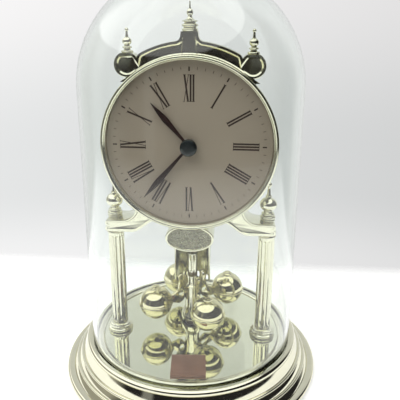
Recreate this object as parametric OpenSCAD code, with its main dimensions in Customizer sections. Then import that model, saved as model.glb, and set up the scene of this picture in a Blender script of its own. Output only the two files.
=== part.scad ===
// Anniversary clock: glass dome, stepped base, two fluted columns, round dial and a four-ball
// pendulum that turns about a vertical axis. Millimetres, +Z up, the dial faces -Y.
// The origin is the centre of the base on the surface it stands on.

/* [Base] */
// Thickness of the felt under the base
felt_t = 1; // [0.5:0.1:2]
// Height of the mirror plate's top face above the table
plate_z = 21.65; // [18:0.05:26]
// Thickness of the mirror plate
plate_t = 1.05; // [0.8:0.05:2]
// Width of the mirror plate outside the column feet
plate_margin = 2; // [1:0.1:10]
// Width of the bead between the mirror plate and the dome's groove
bead_w = 4.1; // [3:0.1:8]
// Width of the shoulder outside the dome's groove
shoulder_w = 3.3; // [2.7:0.1:8]
// Width of the upper step below the shoulder
upper_step_w = 3.7; // [2.8:0.1:8]
// Width of the lower step
lower_step_w = 2.9; // [2.2:0.1:8]
// Width of the foot band outside the lower step
foot_band_w = 4.2; // [3.4:0.1:12]
// Thickness of the deck under the mirror plate
deck_t = 2.4; // [2:0.1:3]
// Diameter of the ballast disc inside the base
ballast_d = 70; // [50:1:84]
// Thickness of the ballast disc
ballast_t = 6; // [4:0.5:8]

/* [Dome] */
// Wall of the glass dome
dome_wall = 2; // [1.5:0.1:3]
// Room between the top finial and the inside of the dome
dome_room = 14.95; // [10:0.05:60]

/* [Columns] */
// Distance of the column axes inside the bezel's edge
column_inset = 3.1; // [2:0.1:6]
// Distance of the column axes in front of the base axis
column_front = 4.3; // [3:0.1:6]
// Diameter of a column
column_d = 9.3; // [7.6:0.1:12]
// Number of flutes in a column
flute_count = 12; // [8:1:16]
// Diameter of the rod inside a column
rod_d = 4; // [3:0.1:5]
// Height of a column from the mirror plate to the frame
column_h = 67.15; // [55:0.05:90]
// Width of a column foot around the column
foot_w = 2.95; // [2.4:0.05:4]

/* [Frame and dial] */
// Height of the bezel's lowest point above the frame arms' underside
dial_lift = 4.3; // [3.5:0.1:6]
// Width of the ring behind the bezel
ring_w = 4; // [3.2:0.1:8]
// Width of the bezel outside that ring
bezel_lap = 0.6; // [0.3:0.1:1.5]
// Width of the bezel
bezel_w = 2.5; // [2:0.1:3.5]
// Distance of the dial face in front of the base axis
dial_front = 13.2; // [11:0.1:16]
// Thickness of the dial
dial_t = 1.2; // [0.8:0.1:2]
// Depth of the frame's lower arms from front to back
frame_depth = 15.5; // [12.5:0.5:20]
// Depth of the frame's arch from front to back
arch_depth = 8; // [6:0.5:10]
// Height of the arch above the bezel
arch_rise = 6.4; // [5.2:0.1:8]
// Least room between the movement case and the drum round it
drum_gap = 0.5; // [0.4:0.1:20]
// Width of the oval plaque's boss
plaque_w = 27.2; // [22:0.2:33]
// Height of the oval plaque's boss
plaque_h = 16; // [12:0.2:20]

/* [Hands] */
// Distance of the minute hand's tip from the bezel
minute_gap = 6.5; // [4:0.1:14]
// Length by which the hour hand is shorter than the minute hand
hour_short = 7.8; // [4:0.1:14]
// Diameter of the hands' black cap
cap_d = 9; // [7.5:0.1:11]
// Minutes shown at rest
minutes_shown = 36.75; // [0:0.25:59.75]
// Hours shown at rest
hours_shown = 10.62; // [0:0.02:11.98]

/* [Pendulum] */
// Distance of the pendulum axis behind the frame
pendulum_gap = 5.3; // [4.4:0.1:8]
// Radius of the circle of ball centres
ball_ring_r = 24; // [20:0.5:28.5]
// Diameter of a pendulum ball
ball_d = 20; // [14:0.5:21.5]
// Height of the ball centres above the mirror plate
ball_rise = 16.85; // [14:0.05:20.2]
// Turn of the balls at rest, in degrees
ball_turn = 26.6; // [0:0.2:90]
// Outer diameter of the trough behind the suspension
guard_d = 22; // [18.4:0.2:26]

/* [Movement] */
// Module of the motion-work gears
gear_module = 0.4; // [0.34:0.01:0.48]
// Height of the movement case below the dial centre
case_down = 28; // [27:0.5:34]
// Height of the movement case above the dial centre
case_up = 26; // [24:0.5:28]
// Diameter of the battery
battery_d = 14.2; // [12:0.1:16]
// Length of the battery
battery_len = 50.5; // [42:0.5:61]

/* [Hidden] */

$fn = 96;
touch = 0.01;           // overlap that joins two shapes of one solid
running = 0.05;         // radial clearance of a shaft that turns in its bore
fit_gap = 0.1;          // clearance of a rod through a plain hole
open_gap = 0.3;         // clearance between pieces of different bodies
brass = "#d8cf9c";
dark_brass = "#8c8250";
steel = "#9a9c9f";

// Movement case and the drum, ring and bezel round it
case_wall = 1.4;
contact_t = 0.4;
contact_reach = 1.15;
case_w = battery_len + 2 * (open_gap + contact_reach + contact_t + case_wall);
battery_front = 0.8;
battery_back = 0.6;
case_depth = case_wall + battery_front + battery_d + battery_back;
drum_wall = 1.2;
half_mm = 0.5;
drum_r = half_mm * ceil((norm([case_w / 2, case_down]) + drum_gap + drum_wall) / half_mm);
ring_r = drum_r + ring_w;
bezel_r = ring_r + bezel_lap;
bore_r = bezel_r - bezel_w;
bezel_front = 4;
bezel_bead = bezel_w - 1.1;

// Columns, their rods and what stands on them
column_x = bezel_r - column_inset;
column_y = -column_front;
column_r = column_d / 2;
column_top = plate_z + column_h;
column_foot_r = column_r + foot_w;
foot_h = 4.8;
column_cap_h = 3;
column_cap_r = column_r + 0.55;
flute_r = 0.8;
flute_depth = 0.4;
flute_end = 2.5;
rod_r = rod_d / 2;
rod_under = 6.2;
rod_in_finial = 4;
washer_t = 0.8;
washer_r = rod_r + 2.6;
nut_t = 3.2;
nut_r = rod_r + 2.1;

// Base, from the mirror plate outwards and down to the table
plate_r = column_x + column_foot_r + plate_margin;
plate_seat_r = plate_r + 0.1;
deck_z = plate_z - plate_t;
bead_h = 1.2;
bead_top = plate_z + bead_h;
groove_gap = 0.5;
groove_z = plate_z - 2.15;
groove_in = plate_seat_r + bead_w;
dome_r = groove_in + groove_gap + dome_wall;
groove_out = dome_r + groove_gap;
shoulder_r = groove_out + shoulder_w;
shoulder_z = plate_z + 0.4;
shoulder_lip = 2.2;
step_lip = 0.9;
step_flat = 0.6;
step_neck = step_lip / 2;
step2_r = shoulder_r + upper_step_w;
step1_r = step2_r + lower_step_w;
shoulder_cove = upper_step_w - step_lip - step_flat;
step_cove = lower_step_w - step_lip - step_flat;
foot_lip = 1.8;
foot_r = step1_r + foot_band_w;
foot_top = felt_t + 2 * foot_lip;
step_rise = (shoulder_z - foot_top) / 4;
step1_z = foot_top + step_rise;
step2_z = step1_z + step_rise;
recess_r = foot_r - 4;
bottom_plate_t = 1.2;
base_wall = 2;
inner_wall = base_wall + 0.6;
engraving_w = 19;
engraving_d = 18.5;
engraving_y = 12.7 - plate_r;
engraving_t = 1.2;

// Frame and dial
dial_z = column_top + dial_lift + bezel_r;
dial_y = -dial_front;
frame_y = dial_y + dial_t;
arm_h = 6.7;
arm_top = column_top + arm_h;
arm_end = column_x + 2.6;
arm_curve = 9;
frame_back = frame_y + frame_depth;
arch_r = bezel_r + arch_rise;
arch_half = 28;
arch_end_r = 3.4;
ear_out = arch_r - 1;
ear_step = 9.1;
ear_turn = arch_half + ear_step / ear_out * 180 / PI;
ear_x = ear_out * sin(ear_turn);
ear_z = dial_z + ear_out * cos(ear_turn);
ear_r = 6.4;
ear_flat = ear_z + ear_r - 0.8;
pedestal_h = 4.3;
finial_y = frame_y + arch_depth / 2;
finial_h = 14.15;
plaque_z = dial_z - bezel_r + 0.9 - plaque_h / 2;
plaque_rim = 1.5;
plaque_y = frame_y - 0.9;

// Movement
case_back = frame_y + case_depth;
lid_back = case_back + case_wall;
bush_r = 3;
pipe_r = 2;
arbor_r = 1;
pivot_r = 0.5;
hour_teeth = 32;
hour_pinion = 8;
minute_teeth = 30;
minute_pinion = 10;
mesh = gear_module * (hour_teeth + hour_pinion) / 2;
gear_t = 1.2;
gear_space = 0.8;
inner_front = frame_y + case_wall;
hour_gear_y = inner_front + gear_space;
minute_gear_y = hour_gear_y + gear_t + gear_space;
nut_front = dial_y - 1.2;
hand_t = 0.5;
hour_hand_y = nut_front - open_gap;
minute_hand_y = hour_hand_y - hand_t - 0.7;
cap_t = 3;
cap_r = cap_d / 2;
minute_len = bore_r - minute_gap;
hour_len = minute_len - hour_short;
battery_r = battery_d / 2;
battery_y = case_back - battery_back - battery_r;
battery_z = dial_z - case_down + case_wall + open_gap + battery_r;
bay_top = battery_z + battery_r + open_gap;
contact_r = 2.2;
inner_half = case_w / 2 - case_wall;
knob_r = 5.5;
knob_h = 6;
rotor_x = -14;
rotor_z = dial_z + 9;
rotor_r = 3;
rotor_t = 3;
stator_y = inner_front + 6.2;
stator_t = 1.4;
stator_post_r = 1.5;
board_t = 1;

// Pendulum
pend_y = frame_back + pendulum_gap;
ball_r = ball_d / 2;
ball_z = plate_z + ball_rise;
hanger_r = 0.8;
housing_w = 21;
housing_d = 17;
housing_h = 9;
housing_wall = 1.2;
housing_z = dial_z - case_down - housing_h;
housing_y = pend_y - housing_d / 2;
magnet_r = 3.6;
magnet_t = 3;
magnet_z = housing_z + housing_wall + open_gap;
guard_r = guard_d / 2;
guard_wall = 0.9;
guard_z = plate_z + 28.4;
guard_half = 105;
tube_r = 3.2;
tube_z = plate_z + 33.8;
tube_top = plate_z + 45.9;
collar_h = 3;
bell_z = plate_z + 2.4;
bell_r = 7;
hub_r = 4.4;
hub_z = plate_z + 10;
hub_top = plate_z + 23.4;
neck_r = 2.7;
scroll_t = 1.8;
cup_r = 4.3;
cup_h = 2.2;

// Drum's depth, which holds the trough, and the dome over all
drum_back = pend_y + guard_r + drum_wall;
drum_depth = drum_back - frame_y;
back_cover_t = 2;
cover_back = drum_back + back_cover_t;
dome_h = dial_z + arch_r + pedestal_h + finial_h + dome_room + dome_wall - groove_z;

// ---- Shared shapes ----

// Points along an arc of radius r about [x, y] from angle a to angle b
function arc(x, y, r, a, b, n = 8) =
    [for (i = [0:n]) [x + r * cos(a + (b - a) * i / n), y + r * sin(a + (b - a) * i / n)]];

// Points up a hollow curve that leaves [r0, z0] level and meets [r1, z1] upright
function cove(r0, z0, r1, z1, n = 6) =
    [for (i = [0:n]) [r0 + (r1 - r0) * sin(90 * i / n), z0 + (z1 - z0) * (1 - cos(90 * i / n))]];

// Points round an oval of half axes a and b
function oval(a, b, n = 64) = [for (i = [0:n - 1]) [a * cos(360 * i / n), b * sin(360 * i / n)]];

// A 2D drawing of x and height, raised from the plane y towards the viewer by depth
module facing(y, depth) translate([0, y, 0]) rotate([90, 0, 0]) linear_extrude(depth) children();

// A drawing of radius and height, turned about an axis that points at the viewer
module turned_front(x, y, z) translate([x, y, z]) rotate([90, 0, 0]) rotate_extrude() children();

// A disc across Y from y to y + t
module y_disc(x, z, y, t, r) translate([x, y, z]) rotate([-90, 0, 0]) cylinder(r = r, h = t);

module at_column(side) translate([side * column_x, column_y, 0]) children();

// ---- Base ----

module felt_pad() color("#26302a") cylinder(r = foot_r - 0.4, h = felt_t);

module bottom_plate() color(steel) translate([0, 0, felt_t])
    cylinder(r = recess_r - fit_gap, h = bottom_plate_t);

module ballast_disc() color("#5c5d60") translate([0, 0, felt_t + bottom_plate_t])
    cylinder(r = ballast_d / 2, h = ballast_t);

// Outline of one rounded step with the hollow wall below it
function step(r, z, below) = concat(
    cove(r + step_cove, below, r - step_neck, z - 2 * step_lip),
    arc(r - step_lip, z - step_lip, step_lip, -60, 90));

module base_profile() polygon(concat(
    [[recess_r, felt_t]],
    arc(foot_r, felt_t + foot_lip, foot_lip, -90, 90, 12),
    step(step1_r, step1_z, foot_top),
    step(step2_r, step2_z, step1_z),
    cove(shoulder_r + shoulder_cove, step2_z, shoulder_r, shoulder_z - shoulder_lip),
    arc(shoulder_r - shoulder_lip, shoulder_z - shoulder_lip, shoulder_lip, 0, 90),
    [[groove_out, shoulder_z], [groove_out, groove_z], [groove_in, groove_z]],
    [for (a = [0:15:180]) [(groove_in + plate_seat_r) / 2 + (groove_in - plate_seat_r) / 2 * cos(a),
        bead_top - bead_h + bead_h * sin(a)]],
    [[plate_seat_r, deck_z], [0, deck_z], [0, deck_z - deck_t]],
    [[groove_in - base_wall, deck_z - deck_t], [groove_in - base_wall, groove_z - base_wall]],
    [[shoulder_r - base_wall, groove_z - base_wall], [shoulder_r - base_wall, step2_z]],
    [[step2_r - inner_wall, step2_z - base_wall], [step2_r - inner_wall, step1_z]],
    [[step1_r - inner_wall, step1_z - base_wall], [step1_r - inner_wall, foot_top - 0.6]],
    [[recess_r, foot_top - base_wall]]));

module base_moulding() color(brass) difference() {
    rotate_extrude() base_profile();
    for (side = [-1, 1]) at_column(side)
        translate([0, 0, deck_z - 2 * deck_t]) cylinder(r = rod_r + fit_gap, h = 3 * deck_t);
}

module mirror_plate() color("#c9c8b4") difference() {
    translate([0, 0, deck_z]) cylinder(r = plate_r, h = plate_t);
    for (side = [-1, 1]) at_column(side)
        translate([0, 0, deck_z - plate_t]) cylinder(r = rod_r + fit_gap, h = 3 * plate_t);
}

// Small bare plate that lies in front of the pendulum, for an engraving
module presentation_plate() color("#8a5a44") translate([1.9, engraving_y, plate_z]) rotate(4)
    translate([-engraving_w / 2, -engraving_d / 2, 0]) cube([engraving_w, engraving_d, engraving_t]);

// Cup on the mirror plate that keeps the pendulum's foot pin from swinging
module guide_cup() color(dark_brass) translate([0, pend_y, plate_z]) difference() {
    cylinder(r = cup_r, h = cup_h);
    translate([0, 0, 0.6]) cylinder(r = cup_r - 1.1, h = cup_h);
}

// ---- Columns ----

module column(side) color(brass) at_column(side) difference() {
    translate([0, 0, plate_z]) cylinder(r = column_r, h = column_h);
    translate([0, 0, plate_z - 1]) cylinder(r = rod_r + fit_gap, h = column_h + 2);
    for (i = [0:flute_count - 1]) rotate(360 * (i + 0.5) / flute_count)
        translate([column_r + flute_r - flute_depth, 0, 0]) flute();
}

// Cutter of one flute with round ends
module flute() {
    low = plate_z + foot_h + flute_end;
    high = column_top - column_cap_h - flute_end;
    translate([0, 0, low]) cylinder(r = flute_r, h = high - low, $fn = 24);
    for (z = [low, high]) translate([0, 0, z]) sphere(r = flute_r, $fn = 24);
}

module column_foot(side) color(brass) at_column(side) translate([0, 0, plate_z])
    rotate_extrude() polygon(concat(
        [[column_r, 0]],
        arc(column_foot_r - 1, 1, 1, -90, 80),
        arc(column_foot_r - 1.1, 2.8, 0.8, -70, 80),
        [[column_foot_r - 1.9, 3.8], [column_foot_r - 2.1, foot_h - 0.3], [column_r + 0.3, foot_h]],
        [[column_r, foot_h]]));

module column_cap(side) color(brass) at_column(side)
    translate([0, 0, column_top - column_cap_h]) rotate_extrude() polygon(concat(
        [[column_r, 0]],
        arc(column_cap_r - 0.6, 0.7, 0.6, -80, 80),
        [[column_r + 0.2, 1.6], [column_cap_r, 2], [column_cap_r, column_cap_h]],
        [[column_r, column_cap_h]]));

module column_rod(side) color(steel) at_column(side)
    translate([0, 0, deck_z - rod_under])
        cylinder(r = rod_r, h = arm_top + rod_in_finial - deck_z + rod_under);

module rod_washers() color(steel) for (side = [-1, 1]) at_column(side)
    translate([0, 0, deck_z - deck_t - washer_t]) difference() {
        cylinder(r = washer_r, h = washer_t);
        translate([0, 0, -1]) cylinder(r = rod_r, h = washer_t + 2);
    }

module rod_nuts() color(steel) for (side = [-1, 1]) at_column(side)
    translate([0, 0, deck_z - deck_t - washer_t - nut_t]) difference() {
        cylinder(r = nut_r, h = nut_t, $fn = 6);
        translate([0, 0, -1]) cylinder(r = rod_r, h = nut_t + 2);
    }

// Bulb finial screwed on the top of a column rod
module column_finial(side) color(brass) at_column(side) translate([0, 0, arm_top])
    rotate_extrude() polygon(concat(
        [[0, rod_in_finial], [rod_r, rod_in_finial], [rod_r, 0]],
        arc(3.6, 0.6, 0.6, -90, 80, 6),
        arc(3.3, 2.3, 1, -70, 80),
        [[2.8, 3.6]],
        arc(3.1, 4.2, 0.5, -80, 70, 5),
        [[2.5, 5.1], [2.6, 5.6]],
        [for (a = [-60:15:70]) [4.85 * cos(a), 9.6 + 4.1 * sin(a)]],
        [[1.2, 13.6], [1.9, 14], [1.9, 14.3], [1.2, 14.6], [0.7, 19.6]],
        arc(0, 21, 1.5, -62, 90)));

// ---- Frame ----

// One lower arm: a level bar that sweeps up to the ring behind the bezel
module arm_outline() polygon(concat(
    arc(arm_end - 0.1, column_top + 1.7, 1.7, -90, 75),
    arc(arm_end - 0.1, column_top + 5, 1.7, -75, 90),
    arc(column_x - 5, arm_top + arm_curve, arm_curve, -90, -180, 10),
    [[ring_r / 2, dial_z - ring_r + 12], [18.4, dial_z - ring_r + 3]],
    arc(column_x - 10.2, column_top + 8.1, 8.1, -135, -90)));

module boss_outline() translate([0, plaque_z]) polygon(oval(plaque_w / 2, plaque_h / 2));

module arch_outline() translate([0, dial_z]) polygon(concat(
    arc(0, 0, arch_r, 90 - arch_half, 90 + arch_half, 24),
    arc(0, 0, ring_r - 2, 90 + arch_half, 90 - arch_half, 24)));

module pedestal_outline() translate([0, dial_z + arch_r - 1]) polygon(concat(
    cove(6, 0, 4.3, pedestal_h + 1),
    [for (i = [6:-1:0]) let (p = cove(-6, 0, -4.3, pedestal_h + 1)) p[i]]));

// Ear beside the arch, with a flat for its finial, and the round end of the arch
module ear(side) {
    difference() {
        facing(frame_y + arch_depth, arch_depth) translate([side * ear_x, ear_z]) circle(r = ear_r);
        translate([side * ear_x - ear_r, frame_y - 1, ear_flat])
            cube([2 * ear_r, arch_depth + 2, ear_r]);
    }
    facing(frame_y + arch_depth, arch_depth)
        translate([side * (arch_r - arch_end_r) * sin(arch_half),
            dial_z + (arch_r - arch_end_r) * cos(arch_half)]) circle(r = arch_end_r);
}

// Ring behind the bezel with the lower arms, the plaque's boss, the arch and its ears
module frame_casting() color(brass) difference() {
    union() {
        y_disc(0, dial_z, frame_y, frame_depth, ring_r);
        for (side = [0, 1]) mirror([side, 0, 0])
            facing(frame_y + frame_depth, frame_depth) arm_outline();
        facing(frame_y + frame_depth, frame_depth + frame_y - plaque_y) boss_outline();
        translate([-plaque_w / 4, frame_y, plaque_z])
            cube([plaque_w / 2, frame_depth, dial_z - plaque_z - drum_r]);
        facing(frame_y + arch_depth, arch_depth) arch_outline();
        facing(frame_y + arch_depth, arch_depth) pedestal_outline();
        for (side = [-1, 1]) ear(side);
    }
    y_disc(0, dial_z, frame_y - 1, frame_depth + 2, drum_r);
    y_disc(0, dial_z, frame_y - bezel_front, bezel_front, bezel_r);
    facing(frame_y, frame_y - plaque_y + 1) translate([0, plaque_z])
        polygon(oval(plaque_w / 2 - plaque_rim, plaque_h / 2 - plaque_rim));
    for (side = [-1, 1]) at_column(side)
        translate([0, 0, column_top - 1]) cylinder(r = rod_r + fit_gap, h = arm_h + 2);
}

// Plain oval plate in the boss, without lettering
module plaque_insert() color("#cfc9a4") facing(frame_y, frame_y - plaque_y - 0.4)
    translate([0, plaque_z])
        polygon(oval(plaque_w / 2 - plaque_rim - fit_gap, plaque_h / 2 - plaque_rim - fit_gap));

module ear_finial(side) color(brass) translate([side * ear_x, finial_y, ear_flat])
    rotate_extrude() polygon(concat(
        [[0, 0]],
        arc(2.6, 0.7, 0.7, -90, 80, 6),
        [[1.6, 1.6], [1.6, 2.2]],
        arc(2, 2.7, 0.5, -80, 70, 5),
        [for (a = [-50:20:70]) [0.4 + 2 * cos(a), 5.6 + 2 * sin(a)]],
        [[0.75, 8.2], [0.6, 10.4]],
        arc(0, 11.3, 0.95, -50, 90)));

module top_finial() color(brass) translate([0, finial_y, dial_z + arch_r + pedestal_h])
    rotate_extrude() polygon(concat(
        [[0, 0]],
        arc(3.4, 0.7, 0.7, -90, 70, 6),
        [[3.3, 1.6], [3.3, 2.1]],
        arc(3.5, 2.8, 0.6, -60, 60, 5),
        [[3.1, 3.5], [2.9, 4.2], [4, 4.7], [4, 5.1], [2, 5.6], [1.3, 6.4], [1.1, 6.9]],
        [for (a = [-50:20:70]) [1.65 * cos(a), 8.8 + 1.9 * sin(a)]],
        [[0.35, 11.4], [0.3, 13.6]],
        arc(0, 13.8, 0.35, 0, 90, 4)));

// ---- Dial side ----

module bezel() color(brass) turned_front(0, frame_y, dial_z) polygon(concat(
    [[bore_r, 0], [bezel_r - 0.3, 0], [bezel_r, 0.3]],
    arc(bezel_r - bezel_bead, dial_t + bezel_front - bezel_bead, bezel_bead, 0, 140),
    [[bore_r + 0.5, dial_t + bezel_front - bezel_bead - 0.3], [bore_r, dial_t + 1.6]]));

module dial() color("#b9ab94") difference() {
    y_disc(0, dial_z, dial_y, dial_t, bore_r - fit_gap);
    y_disc(0, dial_z, dial_y - 1, dial_t + 2, bush_r + fit_gap);
}

module dial_nut() color(steel) difference() {
    translate([0, dial_y, dial_z]) rotate([90, 0, 0]) cylinder(r = cap_r - 0.3, h = 1.1, $fn = 6);
    y_disc(0, dial_z, dial_y - 2, 3, bush_r);
}

// Leaf blade that points up: narrow at the hub, widest at the share belly of its length
module blade(len, root, wide, belly) polygon([[-root, 0], [root, 0], [wide, len * belly],
    [wide * 0.55, len * (belly + 1) / 2], [0.12, len], [-0.12, len],
    [-wide * 0.55, len * (belly + 1) / 2], [-wide, len * belly]]);

module hand(y, turn, hub, bore) facing(y, hand_t) translate([0, dial_z]) rotate(-turn)
    difference() {
        union() {
            circle(r = hub);
            children();
        }
        circle(r = bore);
    }

module minute_hand() color("#17120f")
    hand(minute_hand_y, 6 * minutes_shown, 3, arbor_r) blade(minute_len, 0.9, 1.7, 0.66);

module hour_hand() color("#17120f")
    hand(hour_hand_y, 30 * hours_shown, 3.6, pipe_r) blade(hour_len, 1.2, 1.6, 0.6);

module hand_cap() color("#120f0d") translate([0, minute_hand_y - hand_t, dial_z])
    rotate([90, 0, 0]) difference() {
        rotate_extrude() polygon(concat(
            [[0, 0]],
            arc(cap_r - 0.3, 0.3, 0.3, -90, 0, 4),
            arc(cap_r - 1.1, cap_t - 1.1, 1.1, 0, 90),
            [[0, cap_t]]));
        translate([0, 0, -1]) cylinder(r = arbor_r, h = 2.2);
    }

// ---- Motion work ----

// Outline of a spur gear; phase 0 puts a tooth on +X
module gear_outline(teeth, phase = 0) {
    pitch_r = gear_module * teeth / 2;
    step_deg = 360 / teeth;
    polygon([for (i = [0:teeth - 1], p = [[-0.33, -0.95], [-0.19, -0.1], [-0.1, 0.72],
        [0.1, 0.72], [0.19, -0.1], [0.33, -0.95]])
        let (a = (i + p[0] + phase) * step_deg, r = pitch_r + p[1] * gear_module)
        [r * cos(a), r * sin(a)]]);
}

module gear(x, y, teeth, phase = 0) translate([x, y + gear_t, dial_z]) rotate([90, 0, 0])
    linear_extrude(gear_t) gear_outline(teeth, phase);

module minute_arbor() color(brass) {
    y_disc(0, dial_z, minute_hand_y - hand_t - 1, lid_back - minute_hand_y + hand_t + 1, arbor_r);
    gear(0, minute_gear_y, minute_pinion);
}

module hour_wheel() color("#e6e2d4") difference() {
    union() {
        y_disc(0, dial_z, hour_hand_y - hand_t - 0.2, hour_gear_y - hour_hand_y + hand_t + 0.4,
            pipe_r);
        gear(0, hour_gear_y, hour_teeth);
    }
    y_disc(0, dial_z, hour_hand_y - 5, 20, arbor_r + running);
}

module minute_wheel() color("#e6e2d4") {
    y_disc(mesh, dial_z, frame_y + case_wall / 2, cover_back - frame_y + 2, arbor_r);
    gear(mesh, hour_gear_y, hour_pinion, 0.5);
    gear(mesh, minute_gear_y, minute_teeth, 0.5);
}

module setting_knob() color("#2a2a2c") translate([mesh, cover_back + open_gap, dial_z])
    rotate([-90, 0, 0]) difference() {
        cylinder(r = knob_r, h = knob_h);
        for (i = [0:15]) rotate(22.5 * i) translate([knob_r + 0.25, 0, -1])
            cylinder(r = 0.6, h = knob_h + 2, $fn = 24);
        translate([0, 0, -1]) cylinder(r = arbor_r, h = cover_back);
    }

// ---- Movement ----

module movement_drum() color(brass) difference() {
    y_disc(0, dial_z, frame_y, drum_depth, drum_r);
    y_disc(0, dial_z, frame_y - 1, drum_depth + 2, drum_r - drum_wall);
    translate([0, pend_y, dial_z - drum_r - 1]) cylinder(r = 3, h = 5);
}

module back_cover() color("#35332e") difference() {
    y_disc(0, dial_z, drum_back, back_cover_t, drum_r);
    y_disc(mesh, dial_z, drum_back - 1, back_cover_t + 2, arbor_r + running);
    translate([-inner_half, drum_back - 1, dial_z - case_down + case_wall])
        cube([2 * inner_half, back_cover_t + 2, bay_top - dial_z + case_down - case_wall]);
}

module back_cover_screws() color(steel) for (a = [30, 150, 270])
    translate([(drum_r - 3) * cos(a), cover_back, dial_z + (drum_r - 3) * sin(a)])
        rotate([-90, 0, 0]) difference() {
            cylinder(r = 2, h = 1);
            translate([-3, -0.25, 0.5]) cube([6, 0.5, 1]);
        }

module case_block(front, back, wall) translate([-case_w / 2 + wall, front, dial_z - case_down + wall])
    cube([case_w - 2 * wall, back - front, case_up + case_down - 2 * wall]);

module movement_case() color("#232325") difference() {
    union() {
        difference() {
            case_block(frame_y, case_back, 0);
            case_block(inner_front, case_back + 1, case_wall);
        }
        translate([-case_w / 2 + touch, frame_y, bay_top])
            cube([case_w - 2 * touch, case_depth, case_wall]);
        y_disc(0, dial_z, nut_front, inner_front - nut_front - touch, bush_r);
        for (x = stator_posts())
            y_disc(x, rotor_z, inner_front - touch, stator_y - inner_front + touch, stator_post_r);
    }
    y_disc(0, dial_z, nut_front - 1, inner_front - nut_front + 2, pipe_r + running);
    y_disc(mesh, dial_z, frame_y + case_wall / 2 - 0.1, case_wall, arbor_r + running);
    y_disc(rotor_x, rotor_z, frame_y + case_wall / 2, case_wall, pivot_r + running);
}

function stator_posts() = [rotor_x - 8, rotor_x + 8];

module movement_lid() color("#232325") difference() {
    case_block(case_back, lid_back, 0);
    for (x = [0, mesh]) y_disc(x, dial_z, case_back - 1, case_wall + 2, arbor_r + running);
    y_disc(rotor_x, rotor_z, case_back - 1, case_wall + 0.5, pivot_r + running);
    translate([-inner_half, case_back - 1, dial_z - case_down + case_wall])
        cube([2 * inner_half, case_wall + 2, bay_top - dial_z + case_down - case_wall]);
}

module circuit_board() color("#2f5b3a") translate([mesh + 3, case_back - board_t, dial_z + 5])
    cube([inner_half - mesh - 4, board_t, case_up - case_wall - 6]);

module stator() color(steel) difference() {
    translate([rotor_x - 10, stator_y, rotor_z - 5]) cube([20, stator_t, 18]);
    y_disc(rotor_x, rotor_z, stator_y - 1, stator_t + 2, rotor_r + 0.4);
    translate([rotor_x - 7, stator_y - 1, rotor_z + 5]) cube([14, stator_t + 2, 3]);
    translate([rotor_x - 7, stator_y - 1, rotor_z + 10.5]) cube([14, stator_t + 2, 3]);
}

// Winding round the stator's upper leg
module drive_coil() color("#a4582c") difference() {
    translate([rotor_x - 6.8, stator_y + stator_t / 2, rotor_z + 9.25]) rotate([0, 90, 0])
        cylinder(r = 2.8, h = 13.6);
    translate([rotor_x - 8, stator_y, rotor_z + 8]) cube([16, stator_t, 2.5]);
}

module stepping_rotor() color("#4a4a50") {
    y_disc(rotor_x, rotor_z, frame_y + case_wall / 2 + 0.2, case_back - frame_y, pivot_r);
    y_disc(rotor_x, rotor_z, stator_y - 1, rotor_t, rotor_r);
}

// Leaf of a battery contact with the button that meets the cell
module contact(side) color("#c9cdd0") {
    x = side * (inner_half - contact_t / 2);
    translate([x - contact_t / 2, battery_y - 5, battery_z - 5]) cube([contact_t, 10, 10]);
    translate([side * (inner_half - contact_t + touch), battery_y, battery_z])
        rotate([0, -90 * side, 0]) cylinder(r = contact_r, h = contact_reach + touch);
}

module battery() color("#3d4248") translate([0, battery_y, battery_z]) rotate([0, 90, 0]) {
    translate([0, 0, -battery_len / 2]) cylinder(r = battery_r, h = battery_len - 1.3);
    translate([0, 0, battery_len / 2 - 1.3 - touch]) cylinder(r = 2.6, h = 1.3 + touch);
}

// ---- Suspension ----

module hanger_housing() color("#232325") difference() {
    translate([-housing_w / 2, housing_y, housing_z]) cube([housing_w, housing_d, housing_h]);
    translate([-housing_w / 2 + housing_wall, housing_y + housing_wall, housing_z + housing_wall])
        cube([housing_w, housing_d, housing_h] - housing_wall * [2, 2, 2]);
    translate([0, pend_y, housing_z - 1]) cylinder(r = hanger_r + running, h = housing_wall + 2);
}

module pendulum_coil() color("#a4582c") translate([0, pend_y, housing_z + housing_wall])
    difference() {
        cylinder(r = magnet_r + 3, h = 4.5);
        translate([0, 0, -1]) cylinder(r = magnet_r + 1, h = 7);
    }

// Bright trough behind the suspension, from the drum down to the pendulum's crown
module suspension_trough() color("#e0dab0") difference() {
    translate([0, pend_y, guard_z]) rotate(90 - guard_half)
        rotate_extrude(angle = 2 * guard_half)
            translate([guard_r - guard_wall, 0]) square([guard_wall, dial_z - guard_z]);
    y_disc(0, dial_z, frame_y - 1, drum_depth + 2, drum_r);
    translate([-drum_r, 0, dial_z - 1]) cube(2 * drum_r);
}

// ---- Pendulum ----

module on_axis(z) translate([0, pend_y, z]) children();

module pendulum_hanger() color(dark_brass) {
    on_axis(tube_top - 2) cylinder(r = hanger_r, h = magnet_z - tube_top + 2 + magnet_t);
    on_axis(magnet_z) cylinder(r = magnet_r, h = magnet_t);
}

module pendulum_tube() color(brass) on_axis(tube_z) difference() {
    cylinder(r = tube_r, h = tube_top - tube_z);
    for (i = [0:7]) rotate(45 * i + 22.5) translate([tube_r + 0.35, 0, 0.8])
        cylinder(r = 0.8, h = tube_top - tube_z - 1.6, $fn = 24);
    translate([0, 0, tube_top - tube_z - 2]) cylinder(r = hanger_r, h = 3);
}

module pendulum_collar() color("#4b4632") on_axis(tube_z - collar_h)
    cylinder(r = tube_r - 0.15, h = collar_h);

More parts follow.
